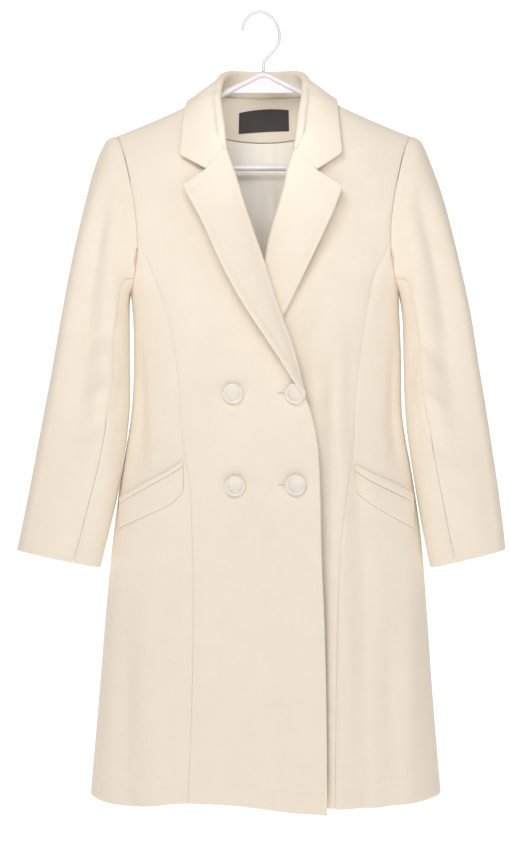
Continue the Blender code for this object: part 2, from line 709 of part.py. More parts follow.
def build_inside(wool, satin, dark):
    """The facing inside the back neck, the label on it and the lining below it."""
    facing_lift = -COAT_CLOTH - FACING_GAP
    rows = []
    for share in even(0, 1, FACING_ROWS):
        row = []
        for x in even(-FACING_HALF_WIDTH, FACING_HALF_WIDTH, FACING_COLUMNS):
            foot = mix(FACING_DROP_CENTRE, FACING_DROP_SIDE, (x / FACING_HALF_WIDTH) ** 2)
            row.append((x, mix(NECK_SEAM_DROP + 1, foot, share), None))
        rows.append(row)
    cloth_on_base("neck_facing", rows, False, COAT_CLOTH, lambda x, d: back_lift(x, d) + facing_lift, wool)

    label_lift = facing_lift - COAT_CLOTH - LABEL_GAP
    rows = []
    for share in even(-0.5, 0.5, 3):
        steps = even(-0.5, 0.5, 6)
        drop = LABEL_CENTRE[1] + LABEL_SIZE[1] * share
        rows.append([(LABEL_CENTRE[0] + LABEL_SIZE[0] * s, drop, None) for s in steps])
    cloth_on_base("label", rows, False, LABEL_CLOTH, lambda x, d: back_lift(x, d) + label_lift, dark)

    places = back_places(BACK_COLUMNS, LINING_CENTRE_DROPS, LINING_FOOT_DROP, LINING_INSET)

    def lining_lift(x, drop):
        pleat = ease(x, PLEAT_X - PLEAT_WIDTH, PLEAT_X) - ease(x, PLEAT_X, PLEAT_X + PLEAT_LAY)
        return back_lift(x, drop) - COAT_CLOTH - LINING_GAP - PLEAT_DEPTH * pleat

    rows = []
    for j, row in enumerate(places):
        line = []
        for side, drop, angle in row:
            x = side * half_width(side, drop) * math.sin(angle) ** (2 / ROUNDNESS)
            foot = mix(FACING_DROP_CENTRE, FACING_DROP_SIDE, min(1.0, abs(x) / FACING_HALF_WIDTH) ** 2)
            foot -= LINING_RISE * max(0.0, abs(x) - FACING_HALF_WIDTH - LINING_BESIDE)
            shoulder = ridge_drop(x, False) + LINING_SHOULDER_DROP
            drop = max(drop, max(foot + 1.0, shoulder) + LINING_ROW_STEP * j)
            line.append((side, drop, angle))
        rows.append(line)
    cloth_on_base("back_lining", rows, False, LINING_CLOTH, lining_lift, satin)


def front_side(side):
    """The front edge, lapel table, notch and lift of one side."""
    if side < 0:
        return FRONT_EDGE_RIGHT, LAPEL_RIGHT, NOTCH_RIGHT, front_right_lift
    return FRONT_EDGE_LEFT, LAPEL_LEFT, NOTCH_LEFT, front_left_lift


def lapel_skins(side):
    """The outer and inner grids of a lapel: round the front's edge from inside, then out to its own edge."""
    edge, table, notch, lift = front_side(side)
    outer, inner = [], []
    for r, row in enumerate(table):
        out_row, in_row = [], []
        roll_x = roll_edge_x(edge, side, row.roll_drop)
        across = Vector((-side, 0, 0))
        up = lift(roll_x, row.roll_drop)
        near = up + LAPEL_GAP
        far = up - COAT_CLOTH - LAPEL_GAP
        depth = mix(WRAP_DEPTH_TOP, WRAP_DEPTH, min(1.0, r / 2))
        for reach, height, thick_reach, thick_height in (
            (-depth, far, 0, -WRAP_CLOTH), (0, far, WRAP_CORNER, -WRAP_CLOTH),
            (LAPEL_GAP, (near + far) / 2, WRAP_CLOTH, 0), (0, near, WRAP_CORNER, WRAP_CLOTH),
        ):
            local, local_out = base_surface(roll_x - side * min(0.0, reach), row.roll_drop, True)
            local = local + across * max(0.0, reach)
            in_row.append(local + local_out * height)
            out_row.append(local + local_out * (height + thick_height) + across * thick_reach)
        for c in range(1, LAPEL_COLUMNS + 1):
            share = c / LAPEL_COLUMNS
            x, drop = mix(roll_x, row.edge_x, share), mix(row.roll_drop, row.edge_drop, share)
            if r == 0:
                half = NOTCH_COLUMN
                if c <= half:
                    x, drop = mix(roll_x, notch[0], c / half), mix(row.roll_drop, notch[1], c / half)
                else:
                    rest = (c - half) / (LAPEL_COLUMNS - half)
                    x, drop = mix(notch[0], row.edge_x, rest), mix(notch[1], row.edge_drop, rest)
            point, out = base_surface(x, drop, True)
            height = lift(x, drop) + LAPEL_GAP + row.lift * share**LAPEL_SPRING
            thick = mix(WRAP_CLOTH, FOLDED_CLOTH, min(1.0, share / FOLD_IN_SHARE))
            in_row.append(point + out * height)
            out_row.append(point + out * (height + thick))
        outer.append(out_row)
        inner.append(in_row)
    return outer, inner


def build_lapels(wool):
    """Both lapels."""
    for side, name in ((-1, "lapel_right"), (1, "lapel_left")):
        outer, inner = lapel_skins(side)
        wall(name, outer, inner, wool)


def collar_section(seam, roll, edge):
    """Points of the cloth's middle from the neck seam over the roll to the fall's edge."""
    rise = (roll - seam).normalized()
    away = edge - roll
    away -= rise * away.dot(rise)
    away.normalize()
    centre = roll - rise * ROLL_RADIUS + away * ROLL_RADIUS
    inner_end = centre - away * ROLL_RADIUS
    points = [mix(seam, inner_end, k / STAND_COLUMNS) for k in range(STAND_COLUMNS)]
    for k in range(ROLL_COLUMNS + 1):
        turn = math.pi * k / ROLL_COLUMNS
        points.append(centre - away * ROLL_RADIUS * math.cos(turn) + rise * ROLL_RADIUS * math.sin(turn))
    start = points[-1]
    for k in range(1, FALL_COLUMNS + 1):
        points.append(mix(start, edge, k / FALL_COLUMNS))
    return points


def collar_end(side):
    """The collar's front end: along the gorge to the notch, then out to its point."""
    outer, inner = lapel_skins(side)
    above = Vector((side * GORGE_SLANT, 0, GORGE_SLANT)) * GORGE_GAP
    middle = [(a + b) / 2 + above for a, b in zip(outer[0], inner[0])]
    turn = len(middle) - LAPEL_COLUMNS - 1
    steps = STAND_COLUMNS + ROLL_COLUMNS
    points = []
    for k in range(steps):
        at = turn * k / steps
        points.append(mix(middle[int(at)], middle[int(at) + 1], at - int(at)))
    points += middle[turn : turn + NOTCH_COLUMN + 1]
    tip = place_on(side * COLLAR_POINT[0] + COLLAR_SHIFT, COLLAR_POINT[1], COLLAR_POINT[2])
    rest = FALL_COLUMNS - NOTCH_COLUMN
    notch = points[-1]
    points += [mix(notch, tip, c / rest) for c in range(1, rest + 1)]
    return points


def build_collar(wool):
    """The collar, swept from one front end round the back of the neck to the other."""
    rows = []
    for side in (-1, 1):
        half = []
        for k, row in enumerate(COLLAR):
            shift = Vector((COLLAR_SHIFT * ease(k, *COLLAR_SHIFT_ROWS), 0, 0))
            seam = Vector((side * row.seam_x, row.seam_y, -row.seam_drop)) + shift
            roll = Vector((side * row.roll_x, row.roll_y, -row.roll_drop)) + shift
            edge = place_on(side * row.edge_x + shift.x, row.edge_y, row.lift)
            points = collar_section(seam, roll, edge)
            along = (edge - roll).cross(seam - roll).normalized()
            out = (edge - points[-FALL_COLUMNS - 1]).cross(along).normalized()
            if out.dot(edge - seam) < 0:
                out = -out
            for c in range(1, FALL_COLUMNS):
                points[-FALL_COLUMNS - 1 + c] += out * FALL_BULGE * math.sin(math.pi * c / FALL_COLUMNS)
            half.append(points)
        half.append(collar_end(side))
        rows.append(half)
    grid = rows[0][::-1] + rows[1][1:]
    normals = grid_normals(grid)
    near = [[p + n * COLLAR_CLOTH / 2 for p, n in zip(*pair)] for pair in zip(grid, normals)]
    far = [[p - n * COLLAR_CLOTH / 2 for p, n in zip(*pair)] for pair in zip(grid, normals)]
    wall("collar", near, far, wool)


def sleeve_oval(table, row, angle):
    """A point of a sleeve section. The angle is 0 at the outer outline and grows towards the front."""
    keys = list(range(len(table)))

    def read(column):
        return curve_at(keys, [getattr(s, column) for s in table], row)

    outer = Vector((read("outer_x"), 0, -read("outer_drop")))
    inner = Vector((read("inner_x"), 0, -read("inner_drop")))
    power = 2 / SLEEVE_ROUNDNESS
    along = math.copysign(abs(math.cos(angle)) ** power, math.cos(angle))
    deep = math.copysign(abs(math.sin(angle)) ** power, math.sin(angle))
    middle = (outer + inner) / 2 + (outer - inner) / 2 * along
    return middle + Vector((0, read("centre_y") - read("half_depth") * deep, 0))


def beside_body(point, side):
    """Moves a point out until it is clear of the coat's side."""
    drop = -point.z
    deep = girth(drop, "front" if point.y < 0 else "back") + BODY_MARGIN
    if abs(point.y) >= deep or drop < UNDERARM_DROP - SLEEVE_CLEAR_START:
        return point
    across = (1 - (abs(point.y) / deep) ** ROUNDNESS) ** (1 / ROUNDNESS)
    reach = half_width(side, drop) * across + SLEEVE_CLEAR
    return Vector((max(point.x, reach), point.y, point.z))


def seam_angles(front_turn):
    """Angles of a section's marks: shoulder, front seam, underarm, back seam and shoulder again."""
    return 0.0, math.pi - front_turn, math.pi, math.pi + BACK_TURN, 2 * math.pi


def sleeve_rings(side):
    """The outer rings of a sleeve, each from the shoulder down the front and up the back."""
    table = SLEEVE_RIGHT if side < 0 else SLEEVE_LEFT
    last_station = len(ARMHOLE_DROPS) - 1
    front_stations = [float(s) for s in range(PRINCESS_STATION + 1)]
    front_stations += even(PRINCESS_STATION + 0.5, last_station, SLEEVE_UNDERARM_STEPS)
    back_stations = [float(s) for s in range(last_station - 1, 0, -1)]
    hole = []
    halves = ((front_stations, ARMHOLE_FRONT, True), (back_stations, ARMHOLE_BACK, False))
    for stations, marks, front in halves:
        for station in stations:
            drop = armhole_drop(station)
            point, _ = base_surface(armhole_x(marks, drop, side), drop, front)
            hole.append(Vector((abs(point.x), point.y, point.z)))
    lengths = [0.0]
    for a, b in zip(hole, hole[1:] + hole[:1]):
        lengths.append(lengths[-1] + (b - a).length)
    front_at = front_stations.index(FRONT_SEAM_STATION)
    under_at = len(front_stations) - 1
    back_at = len(front_stations) + back_stations.index(BACK_SEAM_STATION)
    count = len(hole)
    knots = (0, front_at, under_at, back_at, count)
    rings = []
    first_angles = seam_angles(FRONT_TURN_TOP)
    for row in range(len(table)):
        angles = seam_angles(mix(FRONT_TURN_TOP, FRONT_TURN_CUFF, row / (len(table) - 1)))
        ring = []
        for k in range(count):
            part = max(i for i in range(4) if knots[i] <= k)
            low, high = knots[part], knots[part + 1]
            share = (lengths[k] - lengths[low]) / (lengths[high] - lengths[low])
            angle = mix(angles[part], angles[part + 1], share)
            point = sleeve_oval(table, row, angle)
            if row < CAP_EASE_ROWS:
                first = mix(first_angles[part], first_angles[part + 1], share)
                seat = hole[k] + Vector((SLEEVE_GAP, 0, 0))
                point += (seat - sleeve_oval(table, 0, first)) * (1 - row / CAP_EASE_ROWS) ** 2
            if row > 0:
                point = beside_body(point, side)
            ring.append(Vector((side * point.x, point.y, point.z)))
        rings.append(ring)
    return rings, front_at, back_at


def build_sleeves(wool):
    """The two pieces of each sleeve."""
    for side, word in ((-1, "right"), (1, "left")):
        rings, front_at, back_at = sleeve_rings(side)
        normals = grid_normals(rings, ring=True)
        sign = 1 if normals[4][0].x * side > 0 else -1
        count = len(rings[0])
        under = list(range(front_at, back_at + 1))
        upper = [k % count for k in range(back_at, front_at + count + 1)]
        for name, pick in (("sleeve_under_" + word, under), ("sleeve_upper_" + word, upper)):
            outer, inner = [], []
            for r, (ring, line) in enumerate(zip(rings, normals)):
                shifts = [Vector() for _ in pick]
                for end, beside in ((0, 1), (-1, -2)):
                    k = pick[end]
                    along = rings[min(len(rings) - 1, r + 1)][k] - rings[max(0, r - 1)][k]
                    square = line[k].cross(along).normalized()
                    if square.dot(ring[pick[beside]] - ring[k]) < 0:
                        square = -square
                    shifts[end] = square * SLEEVE_SEAM_GAP / 2
                points = [ring[k] + shift for k, shift in zip(pick, shifts)]
                outer.append(points)
                inner.append([p - line[k] * sign * COAT_CLOTH for p, k in zip(points, pick)])
            wall(name, outer, inner, wool)


def build_pockets(wool):
    """The welts and the edge bands above them."""
    for side, table, lift, word in (
        (-1, POCKET_RIGHT, side_right_lift, "right"), (1, POCKET_LEFT, side_left_lift, "left"),
    ):
        keys = [abs(p.x) for p in table]
        first = side_angle_of(side * keys[0], POCKET_START_DROP)
        last = side_angle_of(side * keys[-1], POCKET_END_DROP)
        bands = (
            ("pocket_edge_", "top", "fold", EDGE_BAND_CLOTH, 2, 0.0),
            ("pocket_welt_", "fold", "foot", WELT_CLOTH, 3, SEAM_GAP),
        )
        for name, top, foot, thick, count, start in bands:
            rows = []
            for share in even(0, 1, count):
                row = []
                for angle in even(first, last, POCKET_COLUMNS):
                    x = half_width(side, POCKET_MIDDLE_DROP) * math.sin(angle) ** (2 / ROUNDNESS)
                    high = curve_at(keys, [getattr(p, top) for p in table], x) + start
                    low = curve_at(keys, [getattr(p, foot) for p in table], x)
                    row.append((side * x, mix(high, low, share), None))
                rows.append(row)
            up = LAY_GAP + thick
            cloth_on_base(name + word, rows, True, thick, lambda x, d, up=up, f=lift: f(x, d) + up, wool)


def turned(name, outline, centre, axis, sides, finish):
    """A solid turned about an axis from (radius, height) pairs that start and end on it."""
    mesh = bmesh.new()
    turn = Vector((0, 0, 1)).rotation_difference(axis)
    ends = [mesh.verts.new((centre + axis * outline[k][1]) * MM) for k in (0, -1)]
    rings = []
    for radius, height in outline[1:-1]:
        ring = []
        for k in range(sides):
            angle = 2 * math.pi * k / sides
            local = Vector((radius * math.cos(angle), radius * math.sin(angle), height))
            ring.append(mesh.verts.new((centre + turn @ local) * MM))
        rings.append(ring)
    for k in range(sides):
        n = (k + 1) % sides
        mesh.faces.new((ends[0], rings[0][n], rings[0][k]))
        mesh.faces.new((ends[1], rings[-1][k], rings[-1][n]))
        for low, high in zip(rings, rings[1:]):
            mesh.faces.new((low[k], low[n], high[n], high[k]))
    return finish_object(name, mesh, finish)


def build_buttons(pearl):
    """Two rows of two buttons on the overlapping front."""
    outline = [(step.radius * BUTTON_RADIUS, step.height * BUTTON_HEIGHT) for step in BUTTON_OUTLINE]
    for b in BUTTONS:
        point, out = base_surface(b.x, b.drop, True)
        centre = point + out * (front_right_lift(b.x, b.drop) + b.lift)
        turned(b.name, outline, centre, out, BUTTON_SIDES, pearl)


def smooth_path(points, steps):
    """A smooth line through points."""
    keys = list(range(len(points)))
    path = []
    for k in range((len(points) - 1) * steps + 1):
        at = k / steps
        path.append(Vector([curve_at(keys, [p[axis] for p in points], at) for axis in range(3)]))
    return path


def tube(name, path, wide, high, sides, finish, closed=False):
    """A rod of oval section swept along a path in the hanger's plane."""
    mesh = bmesh.new()
    rings = []
    count = len(path)
    for k, point in enumerate(path):
        before = path[k - 1] if closed or k else path[0]
        after = path[(k + 1) % count] if closed or k < count - 1 else path[-1]
        along = (after - before).normalized()
        level = Vector((0, 1, 0))
        rise = along.cross(level).normalized()
        ring = []
        for s in range(sides):
            angle = 2 * math.pi * (s + 0.5) / sides
            away = level * wide * math.cos(angle) + rise * high * math.sin(angle)
            ring.append(mesh.verts.new((point + away) * MM))
        rings.append(ring)
    pairs = list(zip(rings, rings[1:]))
    if closed:
        pairs.append((rings[-1], rings[0]))
    for low, top in pairs:
        for s in range(sides):
            n = (s + 1) % sides
            mesh.faces.new((low[s], low[n], top[n], top[s]))
    if not closed:
        mesh.faces.new(rings[0])
        mesh.faces.new(rings[-1][::-1])
    return finish_object(name, mesh, finish)


def build_hanger(plastic, wire):
    """The hook, and the arms, bar and middle plate in one moulding."""
    path = smooth_path([Vector((p.x, 0, p.z)) for p in HOOK_PATH], HOOK_STEPS)
    tube("hanger_hook", path, HOOK_WIRE_RADIUS, HOOK_WIRE_RADIUS, HOOK_SIDES, wire)

    half = [Vector((x, 0, -(ARM_APEX_DROP + ARM_SLOPE * x))) for x in ARM_STATIONS]
    end_drop = ARM_APEX_DROP + ARM_SLOPE * ARM_END_X
    centre = (end_drop + BAR_DROP) / 2
    for turn in ARM_END_TURNS:
        angle = math.radians(turn)
        x = ARM_END_X - ARM_END_INSET + ARM_END_ROUND * math.cos(angle)
        half.append(Vector((x, 0, -centre + (BAR_DROP - end_drop) / 2 * math.sin(angle))))
    half += [Vector((x, 0, -BAR_DROP)) for x in BAR_STATIONS]
    apex = [Vector((0, 0, -(ARM_APEX_DROP + ARM_SLOPE * ARM_ROUND * ARM_APEX_ROUND)))]
    loop = apex + half + [Vector((-p.x, 0, p.z)) for p in half[-2::-1]]
    body = tube("hanger_body", loop, ARM_DEPTH / 2, ARM_THICKNESS / 2, ARM_SIDES, plastic, closed=True)

    mesh = bmesh.new()
    top = ARM_APEX_DROP + PLATE_TOP_INSET
    corners = [(0, top), (PLATE_HALF_WIDTH, top + ARM_SLOPE * PLATE_HALF_WIDTH)]
    corners.append((PLATE_HALF_WIDTH - PLATE_CORNER, PLATE_DROP))
    corners += [(-x, drop) for x, drop in corners[:0:-1]]
    front = [mesh.verts.new(Vector((x, -PLATE_DEPTH / 2, -drop)) * MM) for x, drop in corners]
    rear = [mesh.verts.new(Vector((x, PLATE_DEPTH / 2, -drop)) * MM) for x, drop in corners]
    mesh.faces.new(front)
    mesh.faces.new(rear[::-1])
    for k in range(len(corners)):
        n = (k + 1) % len(corners)
        mesh.faces.new((front[k], rear[k], rear[n], front[n]))
    plate = finish_object("hanger_plate_tool", mesh, plastic)
    joined = body.modifiers.new("plate", "BOOLEAN")
    joined.operation = "UNION"
    joined.solver = "EXACT"
    joined.object = plate
    plate.hide_render = True
    plate.display_type = "WIRE"


def main():
    """Builds the whole coat and its hanger."""
    clear_scene()
    wool = material("wool", (0.86, 0.78, 0.66), 0.95)
    satin = material("satin", (0.88, 0.82, 0.73), 0.4)
    dark = material("label_weave", (0.045, 0.042, 0.04), 0.9)
    pearl = material("button_plastic", (0.85, 0.79, 0.72), 0.3)
    plastic = material("hanger_plastic", (0.83, 0.80, 0.82), 0.35)
    wire = material("hook_coating", (0.80, 0.78, 0.80), 0.3)
    build_body(wool)
    build_inside(wool, satin, dark)
    build_lapels(wool)
    build_collar(wool)
    build_sleeves(wool)
    build_pockets(wool)
    build_buttons(pearl)
    build_hanger(plastic, wire)


main()
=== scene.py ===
"""Looks of a women's double-breasted wool coat that hangs on a white clothes hanger.

The solids of the frame give the place of every piece. Here each cloth piece becomes a fine shell on the
same form, with its creases, seams, rounded edges and woollen surface, and the camera and studio are set.

Sizes are in millimetres and a "drop" is a distance below the rail, so a height is minus its drop.
The wearer's right side is at -X and the coat faces -Y.
"""

import json
import logging
import math
from dataclasses import dataclass, field
from enum import Enum
from typing import Callable, NamedTuple, Sequence

import bpy
import numpy as np
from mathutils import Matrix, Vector

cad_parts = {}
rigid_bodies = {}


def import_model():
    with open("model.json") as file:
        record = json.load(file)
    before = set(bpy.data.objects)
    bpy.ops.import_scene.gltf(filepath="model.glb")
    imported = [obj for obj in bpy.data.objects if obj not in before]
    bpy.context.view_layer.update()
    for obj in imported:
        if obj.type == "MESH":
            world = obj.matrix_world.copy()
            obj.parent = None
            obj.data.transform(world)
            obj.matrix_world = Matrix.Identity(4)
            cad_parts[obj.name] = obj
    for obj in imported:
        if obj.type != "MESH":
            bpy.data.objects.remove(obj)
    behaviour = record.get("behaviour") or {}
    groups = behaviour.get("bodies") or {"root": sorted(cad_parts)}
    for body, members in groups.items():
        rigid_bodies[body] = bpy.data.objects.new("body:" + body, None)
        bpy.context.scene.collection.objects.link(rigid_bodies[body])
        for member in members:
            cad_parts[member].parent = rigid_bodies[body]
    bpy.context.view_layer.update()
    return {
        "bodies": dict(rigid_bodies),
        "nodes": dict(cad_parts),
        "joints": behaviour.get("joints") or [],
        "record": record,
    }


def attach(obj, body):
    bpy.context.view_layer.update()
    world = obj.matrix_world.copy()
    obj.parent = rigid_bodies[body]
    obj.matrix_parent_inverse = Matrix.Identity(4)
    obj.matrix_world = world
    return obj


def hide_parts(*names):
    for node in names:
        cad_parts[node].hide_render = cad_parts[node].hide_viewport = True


Array = np.ndarray
Values = np.ndarray | float
Span = tuple[float, float]
Triple = tuple[float, float, float]
Piece = bpy.types.Object
Finish = bpy.types.Material

LOG = logging.getLogger("coat")
MM = 0.001

COAT_CLOTH = 2.5
FOLDED_CLOTH = 4.5
COLLAR_CLOTH = 3.6
WRAP_CLOTH = 3.0
LAPEL_GAP = 1.9
SEAM_GAP = 0.3

EDGE_STEPS = (0.15, 0.5, 1.1, 2.0, 3.3)
LINE_STEPS = (-2.6, -1.3, -0.6, 0.0, 0.6, 1.3, 2.6)
STEP_ROOM = 0.55
SHARE_DIGITS = 6
LAST_STATION = 10
NEVER = (9000.0, 9001.0)


def ease(value: Values, low: float, high: float) -> Array:
    """0 below low, 1 above high and a smooth step between."""
    share = np.clip((np.asarray(value, float) - low) / (high - low), 0.0, 1.0)
    return share * share * (3 - 2 * share)


def mix(a: Values, b: Values, share: Values) -> Array:
    """The value at this share of the way from a to b."""
    return a + (b - a) * share


def unit(vectors: Array) -> Array:
    """Vectors scaled to length 1."""
    return vectors / np.maximum(np.linalg.norm(vectors, axis=-1, keepdims=True), 1e-9)


class Curve:
    """A smooth line through a table, held level past its ends."""

    def __init__(self, keys: Sequence[float], values: Sequence[float] | Array) -> None:
        """Works out the slope at each key.

        Args:
            keys: rising places.
            values: the values there, one number or one array for each.
        """
        self.keys = np.asarray(keys, float)
        self.values = np.asarray(values, float)
        spans = np.diff(self.keys).reshape((-1,) + (1,) * (self.values.ndim - 1))
        secants = np.diff(self.values, axis=0) / spans
        slopes = np.empty_like(self.values)
        slopes[0], slopes[-1] = secants[0], secants[-1]
        slopes[1:-1] = (secants[:-1] + secants[1:]) / 2
        slopes[1:-1][secants[:-1] * secants[1:] < 0] = 0.0
        self.slopes = slopes

    def __call__(self, at: Values) -> Array:
        """The values at these places."""
        at = np.clip(np.asarray(at, float), self.keys[0], self.keys[-1])
        low = np.clip(np.searchsorted(self.keys, at, side="right") - 1, 0, len(self.keys) - 2)
        span = self.keys[low + 1] - self.keys[low]
        share = (at - self.keys[low]) / span
        extra = (1,) * (self.values.ndim - 1)
        share = share.reshape(share.shape + extra)
        span = span.reshape(span.shape + extra)
        return (
            self.values[low] * (1 + 2 * share) * (1 - share) ** 2
            + self.slopes[low] * span * share * (1 - share) ** 2
            + self.values[low + 1] * share**2 * (3 - 2 * share)
            - self.slopes[low + 1] * span * share**2 * (1 - share)
        )


def every(kind: type, *rows: tuple) -> tuple:
    """One table: each row as a tuple of this kind."""
    return tuple(kind(*row) for row in rows)


class Side(Enum):
    """The wearer's two sides, as the sign of x."""

    RIGHT = -1
    LEFT = 1

    @property
    def word(self) -> str:
        """The side's word in a piece's name."""
        return self.name.lower()


class Girth(NamedTuple):
    """The body's half widths and depths at one drop."""

    drop: float
    right: float
    left: float
    front: float
    back: float


class Fold(NamedTuple):
    """A long soft ridge, or a trough where the height is negative."""

    x_top: float
    drop_top: float
    x_foot: float
    drop_foot: float
    width: float
    height: float


class Crease(NamedTuple):
    """A shorter crease between two places, steeper on one side by its skew."""

    x_from: float
    drop_from: float
    x_to: float
    drop_to: float
    width: float
    height: float
    skew: float


class Rise(NamedTuple):
    """A step up to a height across x, between the drops where it starts and where it stops."""

    height: float
    across: Span
    starts: Span
    stops: Span

    def at(self, x: Array, drop: Array) -> Array:
        """The height at these places."""
        along = ease(drop, *self.starts) * (1 - ease(drop, *self.stops))
        return self.height * ease(x, *self.across) * along


@dataclass(frozen=True)
class CoatForm:
    """The rounded tube that the body's pieces lie on, with the shoulders at its top."""

    roundness: float = 2.3
    shoulder_roll: float = 170.0
    neck_x: float = 74.0
    neck_drop: float = 112.0
    slope: float = 0.53
    slope_ease: float = 0.00065
    neck_rise: float = 41.0
    rise_power: float = 1.2
    underarm: float = 390.0
    probe: float = 0.4
    deepest: float = 0.98
    collar_level: float = 130.0
    girths: tuple[Girth, ...] = every(
        Girth,
        (110, 238, 238, 56, 50), (171, 236, 236, 57, 51), (250, 222, 224, 60, 54),
        (320, 203, 206, 63, 55), (390, 184, 187.5, 66, 54), (475, 179.5, 190.5, 68, 51),
        (556, 183, 192, 71, 53), (642, 197, 206, 76, 60), (722, 207.5, 217.5, 79, 65),
        (827, 218, 226, 81, 69), (950, 228, 234.5, 82, 71), (1100, 241, 247, 82, 73),
    )

    def girth(self, drop: Array, column: str) -> Array:
        """One column of the girth table at these drops."""
        return Curve([g.drop for g in self.girths], [getattr(g, column) for g in self.girths])(drop)

    def half_width(self, x: Array, drop: Array) -> Array:
        """From the centre line to the coat's side, on the side where x lies."""
        return np.where(np.asarray(x) > 0, self.girth(drop, "left"), self.girth(drop, "right"))

    def ridge_drop(self, x: Array, front: bool) -> Array:
        """Drop of the shoulder's top line. The back rises to carry the neck."""
        away = np.abs(x) - self.neck_x
        line = self.neck_drop + self.slope * away - self.slope_ease * np.maximum(0.0, away) ** 2
        if front:
            return line
        rise = np.sin(math.pi / 2 * np.clip(-away / self.neck_x, 0.0, 1.0)) ** self.rise_power
        return line - self.neck_rise * rise

    def roll_square(self, below: Array) -> Array:
        """The square of the depth share at this distance under the shoulder line."""
        return np.where(below >= self.shoulder_roll, 1.0, 1.0 - (1.0 - below / self.shoulder_roll) ** 2)

    def side_square(self, x: Array, drop: Array) -> Array:
        """The square of the depth share between the centre and the side."""
        left = 1.0 - (np.abs(x) / self.half_width(x, drop)) ** self.roundness
        return np.sign(left) * np.abs(left) ** (2 / self.roundness)

    def angle_of(self, x: Array, drop: Array) -> Array:
        """The side angle of an x: 0 at the centre and a right angle at the side seam."""
        share = np.clip(np.abs(x) / self.half_width(x, drop), 0.0, 1.0)
        return np.arcsin(share ** (self.roundness / 2))

    def x_of(self, side: Array, drop: Array, angle: Array) -> Array:
        """The x of a side angle."""
        return side * self.half_width(side, drop) * np.sin(angle) ** (2 / self.roundness)

    def surface(
        self, x: Array, drop: Array, front: bool, angle: Array | None = None
    ) -> tuple[Array, Array]:
        """Points of the base form and the directions out of the cloth there.

        Args:
            x: the places' x, or their side's sign where an angle is given.
            drop: the places' drops.
            front: which half of the coat.
            angle: side angles, for places near the side seam.

        Returns:
            Two arrays with a last axis of three.
        """
        x, drop = np.broadcast_arrays(np.asarray(x, float), np.asarray(drop, float))
        if angle is None:
            across = np.sqrt(np.maximum(0.0, self.side_square(x, drop)))
        else:
            across = np.maximum(0.0, np.cos(angle)) ** (2 / self.roundness)
            x = self.x_of(np.sign(x), drop, angle)
        deep = self.girth(drop, "front" if front else "back")
        facing = -1 if front else 1
        rolled = self.roll_square(drop - self.ridge_drop(x, front))
        y = facing * deep * across * np.sqrt(np.maximum(0.0, rolled))

        def share(px: Array, pdrop: Array) -> Array:
            return self.roll_square(pdrop - self.ridge_drop(px, front)) * self.side_square(px, pdrop)

        step = self.probe
        out = np.stack(
            (
                -(share(x + step, drop) - share(x - step, drop)) / (2 * step),
                2 * y / deep**2,
                (share(x, drop + step) - share(x, drop - step)) / (2 * step),
            ),
            axis=-1,
        )
        return np.stack((x, y + facing * SEAM_GAP / 2, -drop), axis=-1), unit(out)

    def place_on(self, x: float, y: float, lift: float) -> Array:
        """A point lifted off the form at this plan position near the shoulders."""
        front = y < 0
        deep = float(self.girth(self.collar_level, "front" if front else "back"))
        deep = deep * math.sqrt(float(self.side_square(x, self.collar_level)))
        share = min(self.deepest, abs(y) / deep)
        drop = float(self.ridge_drop(x, front)) + self.shoulder_roll * (1 - math.sqrt(1 - share**2))
        point, out = self.surface(x, drop, front)
        return point + out * lift


FORM = CoatForm()


def line_of(*pairs: Span) -> Curve:
    """A seam or edge from (drop, x) pairs, or a hem from (x, drop) pairs."""
    return Curve([p[0] for p in pairs], [p[1] for p in pairs])


